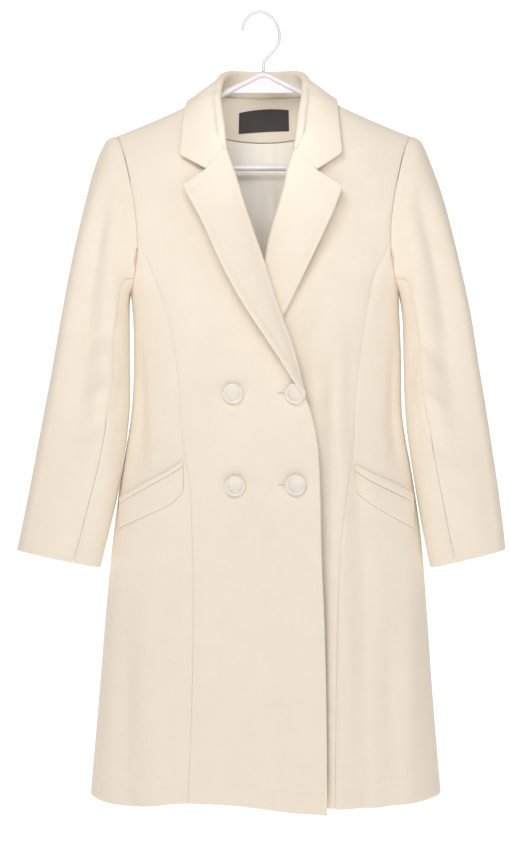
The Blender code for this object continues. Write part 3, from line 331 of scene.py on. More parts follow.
@dataclass(frozen=True)
class Cut:
    """The seam lines and edges that part the body into its pieces."""

    armhole_front: Curve = line_of(
        (171, 204.5), (180, 198.5), (201, 191), (230, 184), (254, 179),
        (287, 174.5), (322, 172.5), (347, 174.5), (370, 178), (390, 184),
    )
    armhole_back: Curve = line_of(
        (171, 204.5), (180, 200), (201, 194), (230, 189), (254, 185),
        (287, 181), (322, 178.5), (347, 178.5), (370, 180.5), (390, 184),
    )
    armhole_drops: Curve = line_of(
        (0, 171), (1, 176), (2, 190), (3, 214), (4, 245), (5, 280), (6, 322), (7, 347), (8, 369), (9, 384),
        (10, 390),
    )
    princess_right: Curve = line_of(
        (322, 172.5), (350, 158.5), (384, 145), (424, 132), (463, 123), (503, 117), (546, 114), (597, 110),
        (656, 100), (725, 97), (774, 95.5), (895, 96), (967, 98), (1100, 103),
    )
    princess_left: Curve = line_of(
        (322, 173.5), (340, 164), (364, 153), (400, 144), (445, 136), (490, 129.5), (546, 124), (602, 121.5),
        (656, 113), (725, 103), (807, 99.5), (942, 97), (1100, 95.5),
    )
    edge_right: Curve = line_of(
        (112, -74), (125, -69), (145, -62), (170, -55), (192, -50), (231, -37), (277, -23), (345, 0),
        (425, 26), (462, 39.5), (511, 52), (534, 58), (567, 67), (600, 72.5), (646, 75), (751, 77.5),
        (832, 81), (940, 83.5), (1100, 85),
    )
    edge_left: Curve = line_of(
        (112, 74), (125, 66), (145, 56), (170, 48), (192, 41), (217, 32.5), (244, 27), (274, 18),
        (315, 6), (345, 0), (425, -26), (462, -38), (511, -51), (600, -68), (751, -75), (1100, -82),
    )
    hem: Curve = line_of(
        (-241, 1078), (-219, 1084), (-190, 1087), (-146, 1084), (-112, 1080.5), (-75, 1081), (-5, 1085),
        (32, 1090), (86, 1095),
    )
    hem_under: Curve = line_of(
        (-90, 1077), (0, 1081), (86, 1086.5), (140, 1087), (176, 1085), (215, 1082), (247, 1077),
    )
    edge_rows: Curve = line_of(
        (0, 112), (1, 120), (2, 140), (3, 186), (4, 194), (5, 231), (6, 277), (7, 345), (8, 390), (9, 425),
        (10, 462), (11, 508), (12, 545), (13, 600), (14, 660), (15, 725), (16, 800), (17, 880), (18, 950),
        (19, 1020), (20, 1085),
    )
    princess_row: int = 6
    last_row: int = 20
    hem_level: float = 1085.0
    side_hem: float = 1078.0
    back_hem: float = 1080.0
    shoulder_drop: float = 171.0
    armhole_ease: float = 280.0
    collar_room: float = 6.0
    collar_start: Span = (112.0, 128.0)
    collar_stop: Span = (190.0, 215.0)
    roll_stop: Span = (526.0, 556.0)
    wrap_fade: Span = (465.0, 528.0)
    wrap_loss: float = 0.75

    def armhole_x(self, front: bool, drop: Array, side: int) -> Array:
        """The armhole's x, eased out to meet the coat's side at the underarm."""
        marks = self.armhole_front if front else self.armhole_back
        out = FORM.half_width(side, FORM.underarm) - FORM.half_width(-1, FORM.underarm)
        return side * (marks(drop) + out * ease(drop, self.armhole_ease, FORM.underarm))

    def edge(self, side: Side) -> Curve:
        """The rolled line and free edge of one front."""
        return self.edge_right if side is Side.RIGHT else self.edge_left

    def princess(self, side: Side) -> Curve:
        """The princess seam of one side."""
        return self.princess_right if side is Side.RIGHT else self.princess_left

    def hem_of(self, side: Side) -> Curve:
        """The hem of one front."""
        return self.hem if side is Side.RIGHT else self.hem_under

    def roll_x(self, side: Side, drop: Array) -> Array:
        """The line that a front's edge keeps to, held back by the room that the rolled edge takes."""
        held_back = ease(drop, *self.collar_start) * self.wrap_share(drop) * (1 - ease(drop, *self.roll_stop))
        return self.edge(side)(drop) + side.value * (LAPEL_GAP + WRAP_CLOTH) * held_back

    def wrap_share(self, drop: Array) -> Array:
        """How full the lapel's turn round the edge is. It flattens towards its lower end."""
        return 1 - self.wrap_loss * ease(drop, *self.wrap_fade)

    def edge_x(self, side: Side, drop: Array) -> Array:
        """A front's own edge, held further back under the collar."""
        under_collar = self.collar_room * ease(drop, *self.collar_start) * (1 - ease(drop, *self.collar_stop))
        return self.roll_x(side, drop) + side.value * under_collar


CUT = Cut()


@dataclass(frozen=True)
class Drape:
    """How far each part of the body stands off the base form: overlap, long folds and creases."""

    side_fade: Span = (0.93, 1.0)
    fold_gain: float = 1.35
    fold_widths: Span = (0.8, 1.25)
    fold_start: float = 120.0
    fold_stop: float = 60.0
    crease_gain: float = 1.7
    crease_start: Span = (-0.05, 0.3)
    crease_stop: Span = (0.65, 1.08)
    wander: float = 0.25
    wander_turn: float = 4.2
    wander_shift: float = 1.7
    under_lapel: Rise = Rise(6.4, (-104, -58), (250, 330), (520, 640))
    overlap: Rise = Rise(2.8, (-100, -72), (220, 330), NEVER)
    free_edge: Rise = Rise(3.0, (30, 80), (520, 640), NEVER)
    under_depths: Span = (2.0, 10.0)
    under_deepens: Span = (200.0, 350.0)
    under_starts: Span = (150.0, 200.0)
    under_across: Span = (48.0, 92.0)
    folds: dict[str, tuple[Fold, ...]] = field(
        default_factory=lambda: {
            "right": every(
                Fold,
                (-62, 560, -50, 1160, 30, -4.2), (-20, 620, 12, 1160, 34, 4.2),
                (-85, 330, -70, 560, 26, -3.0), (-174, 430, -170, 655, 11, -5.5),
                (-160, 780, -150, 1160, 22, 4.5), (-190, 760, -184, 1160, 14, -3.0),
            ),
            "left": every(
                Fold,
                (104, 400, 108, 1160, 14, 4.6), (78, 420, 84, 1160, 9, -3.4), (90, 560, 92, 1140, 5, 1.6),
                (128, 560, 134, 1140, 10, -3.0), (150, 760, 156, 1160, 14, 2.4),
                (180, 430, 184, 655, 11, -5.0), (196, 800, 190, 1160, 20, 4.6),
                (174, 800, 172, 1160, 12, -3.2),
            ),
            "back": every(
                Fold,
                (-60, 330, -70, 1160, 30, 4.5), (0, 420, 4, 1160, 28, -5.0), (68, 350, 80, 1160, 32, 4.5),
                (140, 470, 150, 1160, 22, -5.0), (-140, 480, -150, 1160, 20, -5.0),
                (184, 700, 188, 1160, 16, 4.0), (-182, 720, -186, 1160, 16, 4.0),
            ),
        }
    )
    creases: dict[str, tuple[Crease, ...]] = field(
        default_factory=lambda: {
            "right": every(
                Crease,
                (-168, 330, -120, 470, 9, -0.9, 0.4), (-150, 300, -95, 410, 13, 0.8, -0.3),
                (-128, 205, -150, 330, 16, -0.9, 0.3), (-60, 545, -150, 600, 14, -0.8, 0.3),
                (-20, 600, 30, 760, 16, -0.9, -0.3), (-178, 560, -120, 610, 7, -0.9, 0.4),
                (-130, 730, -150, 900, 15, -1.0, 0.4), (-120, 760, -112, 1060, 12, 1.0, 0.3),
                (40, 700, 60, 940, 12, 0.8, 0.3), (-196, 720, -186, 900, 9, 1.0, -0.3),
            ),
            "left": every(
                Crease,
                (166, 330, 128, 480, 9, -0.9, -0.4), (150, 290, 108, 420, 13, 0.9, 0.3),
                (122, 210, 150, 330, 16, -0.9, -0.3), (96, 430, 92, 600, 8, 1.3, 0.4),
                (120, 480, 112, 610, 9, -1.1, -0.4), (184, 560, 140, 612, 7, -1.0, -0.4),
                (130, 730, 160, 900, 14, -1.0, -0.4), (118, 700, 122, 1050, 9, 1.2, 0.3),
                (200, 730, 196, 900, 9, 1.0, 0.3), (92, 740, 96, 1060, 5, -0.9, 0.2),
            ),
            "back": every(
                Crease,
                (-110, 190, -60, 300, 16, -1.0, 0.3), (110, 195, 66, 310, 17, -1.1, -0.3),
                (-165, 330, -110, 440, 12, -1.1, 0.4), (168, 325, 112, 450, 12, -1.2, -0.4),
                (-100, 470, 20, 505, 14, -1.0, 0.3), (110, 480, -10, 520, 15, 0.9, -0.3),
                (-40, 640, -46, 1000, 14, 1.2, 0.4), (36, 620, 44, 1040, 12, -1.1, 0.3),
                (-112, 600, -120, 1020, 13, -1.0, -0.4), (112, 640, 124, 1050, 12, 1.1, 0.4),
            ),
        }
    )

    def fold_height(self, folds: Sequence[Fold], x: Array, drop: Array) -> Array:
        """Height of the long folds. They die away at their ends and at the side seam."""
        total = np.zeros(np.broadcast(x, drop).shape)
        aside = 1 - ease(np.abs(x) / FORM.half_width(x, drop), *self.side_fade)
        for f in folds:
            along = np.clip((drop - f.drop_top) / (f.drop_foot - f.drop_top), 0, 1)
            axis = mix(f.x_top, f.x_foot, along)
            wide = f.width * mix(*self.fold_widths, along)
            fade = ease(drop, f.drop_top, f.drop_top + self.fold_start)
            fade = fade * (1 - ease(drop, f.drop_foot - self.fold_stop, f.drop_foot))
            total += self.fold_gain * f.height * fade * np.exp(-(((x - axis) / wide) ** 2))
        return total * aside

    def crease_height(self, creases: Sequence[Crease], x: Array, drop: Array) -> Array:
        """Height of the short creases, which wander a little and end softly."""
        total = np.zeros(np.broadcast(x, drop).shape)
        aside = 1 - ease(np.abs(x) / FORM.half_width(x, drop), *self.side_fade)
        for k, c in enumerate(creases):
            run = np.array((c.x_to - c.x_from, c.drop_to - c.drop_from))
            length = float(np.hypot(*run))
            run = run / length
            along = ((x - c.x_from) * run[0] + (drop - c.drop_from) * run[1]) / length
            beside = (x - c.x_from) * run[1] - (drop - c.drop_from) * run[0]
            beside = beside + self.wander * c.width * np.sin(self.wander_turn * along + self.wander_shift * k)
            wide = c.width * np.where(beside > 0, 1 + c.skew, 1 - c.skew)
            fade = ease(along, *self.crease_start) * (1 - ease(along, *self.crease_stop))
            total += self.crease_gain * c.height * fade * np.exp(-((beside / wide) ** 2))
        return total * aside

    def soft(self, part: str, x: Array, drop: Array) -> Array:
        """Folds and creases of one part of the body."""
        return self.fold_height(self.folds[part], x, drop) + self.crease_height(self.creases[part], x, drop)

    def right(self, x: Array, drop: Array) -> Array:
        """Height of the overlapping right side."""
        raised = np.maximum(self.overlap.at(x, drop), self.under_lapel.at(x, drop))
        return raised + self.free_edge.at(x, drop) + self.soft("right", x, drop)

    def left(self, x: Array, drop: Array) -> Array:
        """Height of the left side, which lies underneath."""
        deep = mix(*self.under_depths, ease(drop, *self.under_deepens)) * ease(drop, *self.under_starts)
        return -deep * (1 - ease(x, *self.under_across)) + self.soft("left", x, drop)

    def front(self, side: Side) -> Callable[[Array, Array], Array]:
        """The height function of one side of the front."""
        return self.right if side is Side.RIGHT else self.left

    def back(self, x: Array, drop: Array) -> Array:
        """Height of the back."""
        return self.soft("back", x, drop)


DRAPE = Drape()


class Border(Enum):
    """What a piece's border is."""

    FREE = "rounded free edge"
    SEAM = "sewn seam that sinks a little"
    PLAIN = "hidden edge"


def fine_steps(length: float, step: float, low: bool, high: bool, extra: Sequence[float] = ()) -> Array:
    """Shares from 0 to 1, close together at a border that is rounded or sewn.

    Args:
        length: the distance that the shares span.
        step: the usual distance between two of them.
        low: whether the border at 0 is close set.
        high: whether the border at 1 is close set.
        extra: further distances from 0 with close steps round them.

    Returns:
        The rising shares.
    """
    marks = [0.0, length]
    marks += [d for d in EDGE_STEPS if low] + [length - d for d in EDGE_STEPS if high]
    marks += [at + d for at in extra for d in LINE_STEPS]
    kept = np.array(marks)
    plain = np.arange(step, length - step / 2, step)
    plain = [p for p in plain if np.min(np.abs(kept - p)) > step * STEP_ROOM]
    return np.unique(np.round(np.array(marks + plain) / length, SHARE_DIGITS))


@dataclass
class Shell:
    """A cloth piece between two grids of points, with its borders rounded or sunk into their seams."""

    name: str
    outer: Array
    inner: Array
    top: Border = Border.PLAIN
    foot: Border = Border.PLAIN
    first: Border = Border.PLAIN
    last: Border = Border.PLAIN
    seam_sink: float = 0.9
    seam_reach: float = 2.6
    margin: float = 0.0
    margin_rise: Values = 0.0
    margin_step: Span = (-1.5, 0.8)
    groove: float = 0.0
    groove_sink: float = 0.35
    groove_reach: float = 1.3
    end_free: Values = 1.0
    end_sink: float = 0.4
    end_reach: float = 1.6
    edge_round: float = 0.94
    corner: float = 0.0

    def _round_corners(self) -> None:
        """Pulls the corners between two free borders onto a round."""
        for end in ("top", "foot"):
            if getattr(self, end) is not Border.FREE:
                continue
            far = self._distances()
            p = np.clip(1 - far[end] / self.corner, 0, 1)
            q = np.clip(1 - far["last"] / self.corner, 0, 1)
            down = unit(np.gradient(self.outer, axis=0)) * (1 if end == "top" else -1)
            over = -unit(np.gradient(self.outer, axis=1))
            move = down * (self.corner * p * (1 - np.sqrt(1 - q * q / 2)))[..., None]
            move = move + over * (self.corner * q * (1 - np.sqrt(1 - p * p / 2)))[..., None]
            self.outer = self.outer + move
            self.inner = self.inner + move

    def _distances(self) -> dict[str, Array]:
        """The distance of each point from the four borders, along the grid."""
        down = np.linalg.norm(np.diff(self.outer, axis=0), axis=-1)
        over = np.linalg.norm(np.diff(self.outer, axis=1), axis=-1)
        rows = np.concatenate((np.zeros((1, down.shape[1])), np.cumsum(down, axis=0)))
        columns = np.concatenate((np.zeros((over.shape[0], 1)), np.cumsum(over, axis=1)), axis=1)
        return {"top": rows, "foot": rows[-1:] - rows, "first": columns, "last": columns[:, -1:] - columns}

    def skins(self) -> tuple[Array, Array]:
        """The outer and inner grids, with rounded edges, sunk seams and the raised margin."""
        if self.corner:
            self._round_corners()
        far = self._distances()
        across = self.outer - self.inner
        thick = np.linalg.norm(across, axis=-1)
        out = unit(across)
        rise = np.zeros(thick.shape)
        sink = np.zeros(thick.shape)
        for border, gap in far.items():
            kind = getattr(self, border)
            free = self.end_free if border in ("top", "foot") else 1.0
            if kind is Border.FREE and self.margin:
                near = 1 - ease(gap, self.margin + self.margin_step[0], self.margin + self.margin_step[1])
                rise = np.maximum(rise, self.margin_rise * near * free)
            if kind is Border.FREE:
                sink = np.maximum(sink, self.end_sink * (1 - free) * np.exp(-((gap / self.end_reach) ** 2)))
            if kind is Border.SEAM:
                sink = np.maximum(sink, self.seam_sink * np.exp(-((gap / self.seam_reach) ** 2)))
        if self.groove:
            sink = np.maximum(
                sink, self.groove_sink * np.exp(-(((far["foot"] - self.groove) / self.groove_reach) ** 2))
            )
        half = (thick + rise) / 2
        pinch = np.zeros(thick.shape)
        for border, gap in far.items():
            if getattr(self, border) is Border.FREE:
                free = self.end_free if border in ("top", "foot") else 1.0
                inside = np.clip(1 - gap / half, 0, 1)
                rounded = half * (1 - np.sqrt(np.maximum(0, 1 - inside**2)))
                pinch = np.maximum(pinch, self.edge_round * free * rounded)
        outer = self.outer + out * (rise - sink - pinch)[..., None]
        inner = self.inner + out * (pinch - sink)[..., None]
        return outer, inner

    def build(self) -> Piece:
        """The closed mesh object of the piece."""
        outer, inner = self.skins()
        return wall(self.name, outer, inner)


def wall(name: str, outer: Array, inner: Array) -> Piece:
    """A closed wall between two grids of points.

    Args:
        name: the object's name.
        outer: rows of points in millimetres.
        inner: the same grid on the cloth's other face.

    Returns:
        The new smooth object, its faces pointing out.
    """
    rows, columns = outer.shape[:2]
    number = np.arange(rows * columns).reshape(rows, columns)
    corners = (number[:-1, :-1], number[:-1, 1:], number[1:, 1:], number[1:, :-1])
    quads = np.stack(corners, axis=-1).reshape(-1, len(corners))
    around = np.concatenate((number[0, :], number[1:, -1], number[-1, -2::-1], number[-2:0:-1, 0]))
    ahead = np.roll(around, -1)
    extra = rows * columns
    rim = np.stack((around, around + extra, ahead + extra, ahead), axis=-1)
    middle = (rows // 2, columns // 2)
    across = np.cross(
        outer[middle[0], middle[1]] - outer[middle[0], middle[1] - 1],
        outer[middle[0], middle[1]] - outer[middle[0] - 1, middle[1]],
    )
    faces = np.concatenate((quads, quads[:, ::-1] + extra, rim))
    if np.dot(across, outer[middle] - inner[middle]) < 0:
        faces = faces[:, ::-1]
    points = np.concatenate((outer.reshape(-1, 3), inner.reshape(-1, 3))) * MM
    return mesh_object(name, points, faces)


def mesh_object(name: str, points: Array, faces: Array | list) -> Piece:
    """A smooth mesh object in the scene, from points in metres."""
    mesh = bpy.data.meshes.new(name)
    mesh.from_pydata([tuple(p) for p in points], [], [tuple(int(v) for v in f) for f in faces])
    mesh.shade_smooth()
    mesh.update()
    made = bpy.data.objects.new(name, mesh)
    bpy.context.scene.collection.objects.link(made)
    return made


def tube_faces(rows: int, sides: int, first: int = 0, capped: bool = True) -> list[tuple[int, ...]]:
    """Faces round a tube.

    Args:
        rows: the number of rings.
        sides: the points of a ring.
        first: the number of the first ring's first point.
        capped: whether both ends are closed flat.

    Returns:
        The faces.
    """
    faces = []
    for low in range(first, first + (rows - 1) * sides, sides):
        for k in range(sides):
            n = (k + 1) % sides
            faces.append((low + k, low + n, low + sides + n, low + sides + k))
    if capped:
        last = first + (rows - 1) * sides
        faces.append(tuple(range(first, first + sides))[::-1])
        faces.append(tuple(range(last, last + sides)))
    return faces


def grid_normals(grid: Array, ring: bool = False) -> Array:
    """The direction across a grid of points. ring joins each row's ends."""
    if ring:
        along = np.roll(grid, -1, axis=1) - np.roll(grid, 1, axis=1)
    else:
        along = np.gradient(grid, axis=1)
    return unit(np.cross(along, np.gradient(grid, axis=0)))


def read_table(table: Sequence[tuple], column: str) -> Curve:
    """A smooth line through one column of a table, keyed by row number."""
    return Curve(list(range(len(table))), [getattr(row, column) for row in table])


def on_form(
    x: Array,
    drop: Array,
    front: bool,
    lift: Values,
    thick: float,
    angle: Array | None = None,
) -> tuple[Array, Array]:
    """Outer and inner grids of a cloth that lies on the form with this lift."""
    points, out = FORM.surface(x, drop, front, angle)
    lift = np.broadcast_to(np.asarray(lift, float), points.shape[:-1])[..., None]
    return points + out * lift, points + out * (lift - thick)


class Flat(NamedTuple):
    """A piece's cut laid flat: its width, length and area in metres."""

    width: float
    length: float
    area: float


@dataclass
class Cloth:
    """What every cloth piece shares: its size of grid, how it is cut and what it replaces."""

    step: float = 4.5

    def dress(
        self, piece: Piece, node: str, finish: Finish, slot: str, cut: Flat,
        rests_on: Sequence[str],
    ) -> Piece:
        """Fixes a piece to the coat's body and states its cut.

        Args:
            piece: the cloth piece.
            node: the CAD node that it stands for.
            finish: its material.
            slot: the record's material slot; not used.
            cut: the cut laid flat.
            rests_on: what carries it; not used.

        Returns:
            The piece.
        """
        piece.name = f"{node}_cloth"
        piece.data.materials.append(finish)
        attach(piece, "root")
        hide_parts(node)
        faces = piece.data.polygons
        spread = sum(f.area for f in faces) / 2
        LOG.info("%s: %d faces, %.4f of %.4f square metres", piece.name, len(faces), spread, cut.area)
        return piece


@dataclass
class Fronts(Cloth):
    """The centre fronts, from the shoulder seam to the hem."""

    top_rows: int = 4
    hem_line: float = 30.0
    edge_margin: float = 6.6
    edge_marks: tuple[float, ...] = (4.8, 6.6, 8.6)
    edge_rise: float = 1.3
    turned_rise: float = 1.2
    turned_fade: Span = (520.0, 610.0)
    margin_start: Span = (527.0, 545.0)
    margin_stop: Span = (1066.0, 1074.0)
    edge_hem_rows: Span = (18.0, 20.0)
    hem_rows: Span = (17.0, 20.0)
    top_step: float = 2.0
    cuts: dict[Side, Flat] = field(
        default_factory=lambda: {Side.RIGHT: Flat(0.23, 1.0, 0.164), Side.LEFT: Flat(0.23, 1.0, 0.166)}
    )

    def rows(self) -> Array:
        """Row numbers of the grid, close set at the shoulder seam, hem stitches and hem."""
        whole = np.arange(CUT.last_row + 1)
        levels = np.maximum(CUT.edge_rows(whole), CUT.armhole_drops(np.minimum(whole, LAST_STATION)))
        parts = []
        for j in range(CUT.last_row):
            count = max(2, int(math.ceil((levels[j + 1] - levels[j]) / self.step)))
            parts.append(j + np.arange(count) / count)
        plain = np.concatenate(parts + [np.array([float(CUT.last_row)])])
        last = levels[-1] - levels[-2]
        foot = fine_steps(last, self.step, False, True, (last - self.hem_line,))
        top = fine_steps(levels[1] - levels[0], self.top_step, True, False)
        inner = plain[(plain > 1) & (plain < CUT.last_row - 1)]
        return np.concatenate((top, inner, CUT.last_row - 1 + foot))

    def places(self, side: Side) -> tuple[Array, Array]:
        """The x and drop of every grid point of one front."""
        j = self.rows()[:, None]
        edge, princess, hem = CUT.edge(side), CUT.princess(side), CUT.hem_of(side)
        foot_x = side.value * princess(CUT.hem_level)
        split = CUT.princess_row
        share = (j - split) / (CUT.last_row - split)
        upper_drop = CUT.armhole_drops(np.minimum(j, split))
        lower_drop = mix(CUT.armhole_drops(split), hem(foot_x), share)
        out_drop = np.where(j <= split, upper_drop, lower_drop)
        upper_x = CUT.armhole_x(True, out_drop, side.value)
        lower_x = side.value * (princess(out_drop) - SEAM_GAP / 2)
        out_x = np.where(j <= split, upper_x, lower_x)
        in_drop = CUT.edge_rows(j) + (hem(edge(CUT.hem_level)) - CUT.hem_level) * ease(j, *self.edge_hem_rows)
        in_x = CUT.edge_x(side, in_drop)
        wide = float(np.median(np.abs(in_x - out_x)))
        k = fine_steps(wide, self.step, True, True, tuple(wide - d for d in self.edge_marks))[None, :]
        x = mix(out_x, in_x, k)
        drop = mix(out_drop, in_drop, k)
        pull = np.maximum(0.0, 1 - j / self.top_rows) ** 2
        drop = drop + (FORM.ridge_drop(x, True) - mix(CUT.shoulder_drop, FORM.neck_drop, k)) * pull
        return x, drop + (hem(x[-1:]) - drop[-1:]) * ease(j, *self.hem_rows)

    def build(self, finish: Finish) -> list[Piece]:
        """Both fronts."""
        made = []
        for side, cut in self.cuts.items():
            node = f"front_{side.word}"
            x, drop = self.places(side)
            outer, inner = on_form(x, drop, True, DRAPE.front(side)(x, drop), COAT_CLOTH)
            rise = self.edge_rise + self.turned_rise * (1 - ease(drop, *self.turned_fade))
            rise = rise * ease(drop, *self.margin_start) * (1 - ease(drop, *self.margin_stop))
            shell = Shell(
                node, outer, inner, Border.SEAM, Border.FREE, Border.SEAM, Border.FREE,
                margin=self.edge_margin, margin_rise=rise, groove=self.hem_line,
            )
            carriers = (f"side_front_{side.word}", "back", "hanger_body")
            made.append(self.dress(shell.build(), node, finish, "wool", cut, carriers))
        return made


@dataclass
class SideFronts(Cloth):
    """The side fronts, from the armhole to the hem between the princess and side seams."""

    hem_line: float = 30.0
    width: float = 95.0
    top_shares: Span = (0.0, 0.12)
    hem_shares: Span = (0.8, 1.0)
    cut: Flat = Flat(0.19, 0.75, 0.097)

    def places(self, side: Side) -> tuple[Array, Array, Array]:
        """The x, drop and side angle of every grid point."""
        length = CUT.side_hem - FORM.underarm
        j = fine_steps(length, self.step, True, True, (length - self.hem_line,))[:, None]
        k = fine_steps(self.width, self.step, True, True)[None, :]
        princess, hem = CUT.princess(side), CUT.hem_of(side)
        foot_x = side.value * princess(CUT.hem_level)
        split = CUT.princess_row
        in_drop = mix(CUT.armhole_drops(split), hem(foot_x), j)
        in_angle = FORM.angle_of(side.value * (princess(in_drop) + SEAM_GAP / 2), in_drop)
        out_drop = mix(FORM.underarm, CUT.side_hem, j)
        drop = mix(in_drop, out_drop, k)
        angle = mix(in_angle, math.pi / 2, k)
        hole_drop = CUT.armhole_drops(split + k * (LAST_STATION - split))
        hole_angle = FORM.angle_of(CUT.armhole_x(True, hole_drop, side.value), hole_drop)
        near_top = (1 - ease(j, *self.top_shares)) + 0 * k
        drop = drop + (hole_drop - drop[:1]) * near_top
        angle = angle + (hole_angle - angle[:1]) * near_top
        reach = FORM.x_of(np.full(drop.shape, float(side.value)), drop, angle)
        drop = drop + (hem(reach[-1:]) - drop[-1:]) * ease(j, *self.hem_shares)
        return np.full(drop.shape, float(side.value)), drop, angle

    def build(self, finish: Finish) -> list[Piece]:
        """Both side fronts."""
        made = []
        for side in Side:
            sign, drop, angle = self.places(side)
            x = FORM.x_of(sign, drop, angle)
            outer, inner = on_form(sign, drop, True, DRAPE.soft(side.word, x, drop), COAT_CLOTH, angle)
            node = f"side_front_{side.word}"
            shell = Shell(
                node, outer, inner, Border.SEAM, Border.FREE, Border.SEAM, Border.SEAM, groove=self.hem_line
            )
            carriers = (f"front_{side.word}", "back")
            made.append(self.dress(shell.build(), node, finish, "wool", self.cut, carriers))
        return made


@dataclass(frozen=True)
class BackGrid:
    """The grid that the back and its lining are made on, from side seam to side seam."""

    step: float
    tops: Curve
    foot: float
    inset: float
    hem_line: float
    upper_steps: int = 6
    first_rows: tuple[float, ...] = (0.0, 0.02, 0.07)
    lower_rows: int = 14
    half: float = 190.0
    pull_rows: int = 5
    neck_seam: float = 116.0

    def places(self) -> tuple[Array, Array, Array]:
        """The side's sign, drop and side angle of every point."""
        upper = LAST_STATION
        top = np.concatenate([j + np.arange(self.upper_steps) / self.upper_steps for j in range(upper)])
        length = self.foot - FORM.underarm
        low = fine_steps(length, self.step, False, True, (length - self.hem_line,)) * self.lower_rows
        j = np.concatenate((self.first_rows, top[1:], upper + low))[:, None]
        half = fine_steps(self.half, self.step, False, True)
        across = np.concatenate((-half[::-1], half[1:]))[None, :]
        side = np.where(across > 0, 1.0, -1.0) + 0 * j
        share = np.clip((j - upper) / self.lower_rows, 0, 1)
        station = np.minimum(j, upper)
        lower_drop = mix(FORM.underarm, min(CUT.side_hem, self.foot), share)
        out_drop = np.where(j <= upper, CUT.armhole_drops(station), lower_drop)
        shift = FORM.half_width(side, FORM.underarm) - FORM.half_width(-1, FORM.underarm)
        hole = CUT.armhole_back(out_drop) + shift * ease(out_drop, CUT.armhole_ease, FORM.underarm)
        hole_angle = FORM.angle_of(side * hole, out_drop + 0 * side)
        reach = np.where(j <= upper, hole_angle, math.pi / 2) - self.inset
        centre = np.where(j <= upper, self.tops(station), mix(self.tops(upper), self.foot, share))
        angle = np.abs(across) * reach
        drop = mix(centre, out_drop, across**2)
        x = FORM.x_of(side, drop, angle)
        ridge = np.maximum(FORM.ridge_drop(x, False), np.where(np.abs(x) < FORM.neck_x, self.neck_seam, 0.0))
        pull = np.maximum(0.0, 1 - j / self.pull_rows) ** 2
        first = float(self.tops(0))
        move = ridge + (first - self.neck_seam) - mix(first, CUT.shoulder_drop, across**2)
        return side, drop + move * pull, angle


@dataclass
class Back(Cloth):
    """The back in one piece, with its centre seam."""

    hem_line: float = 30.0
    centre_sink: float = 0.9
    centre_reach: float = 2.4
    cut: Flat = Flat(0.56, 0.98, 0.43)
    tops: Curve = line_of(
        (0, 116), (1, 120), (2, 132), (3, 152), (4, 182), (5, 222), (6, 268), (7, 308), (8, 346), (9, 374),
        (10, 390),
    )

    def build(self, finish: Finish) -> Piece:
        """The back piece."""
        side, drop, angle = BackGrid(self.step, self.tops, CUT.back_hem, 0.0, self.hem_line).places()
        x = FORM.x_of(side, drop, angle)
        lift = DRAPE.back(x, drop) - self.centre_sink * np.exp(-((x / self.centre_reach) ** 2))
        outer, inner = on_form(side, drop, False, lift, COAT_CLOTH, angle)
        shell = Shell(
            "back", outer, inner, Border.SEAM, Border.FREE, Border.SEAM, Border.SEAM, groove=self.hem_line
        )
        carriers = ("hanger_body", "side_front_right", "side_front_left")
        return self.dress(shell.build(), "back", finish, "wool", self.cut, carriers)


class LapelRow(NamedTuple):
    """One line of a lapel, from the roll line out to its edge, and the edge's lift."""

    roll_x: float
    roll_drop: float
    edge_x: float
    edge_drop: float
    lift: float


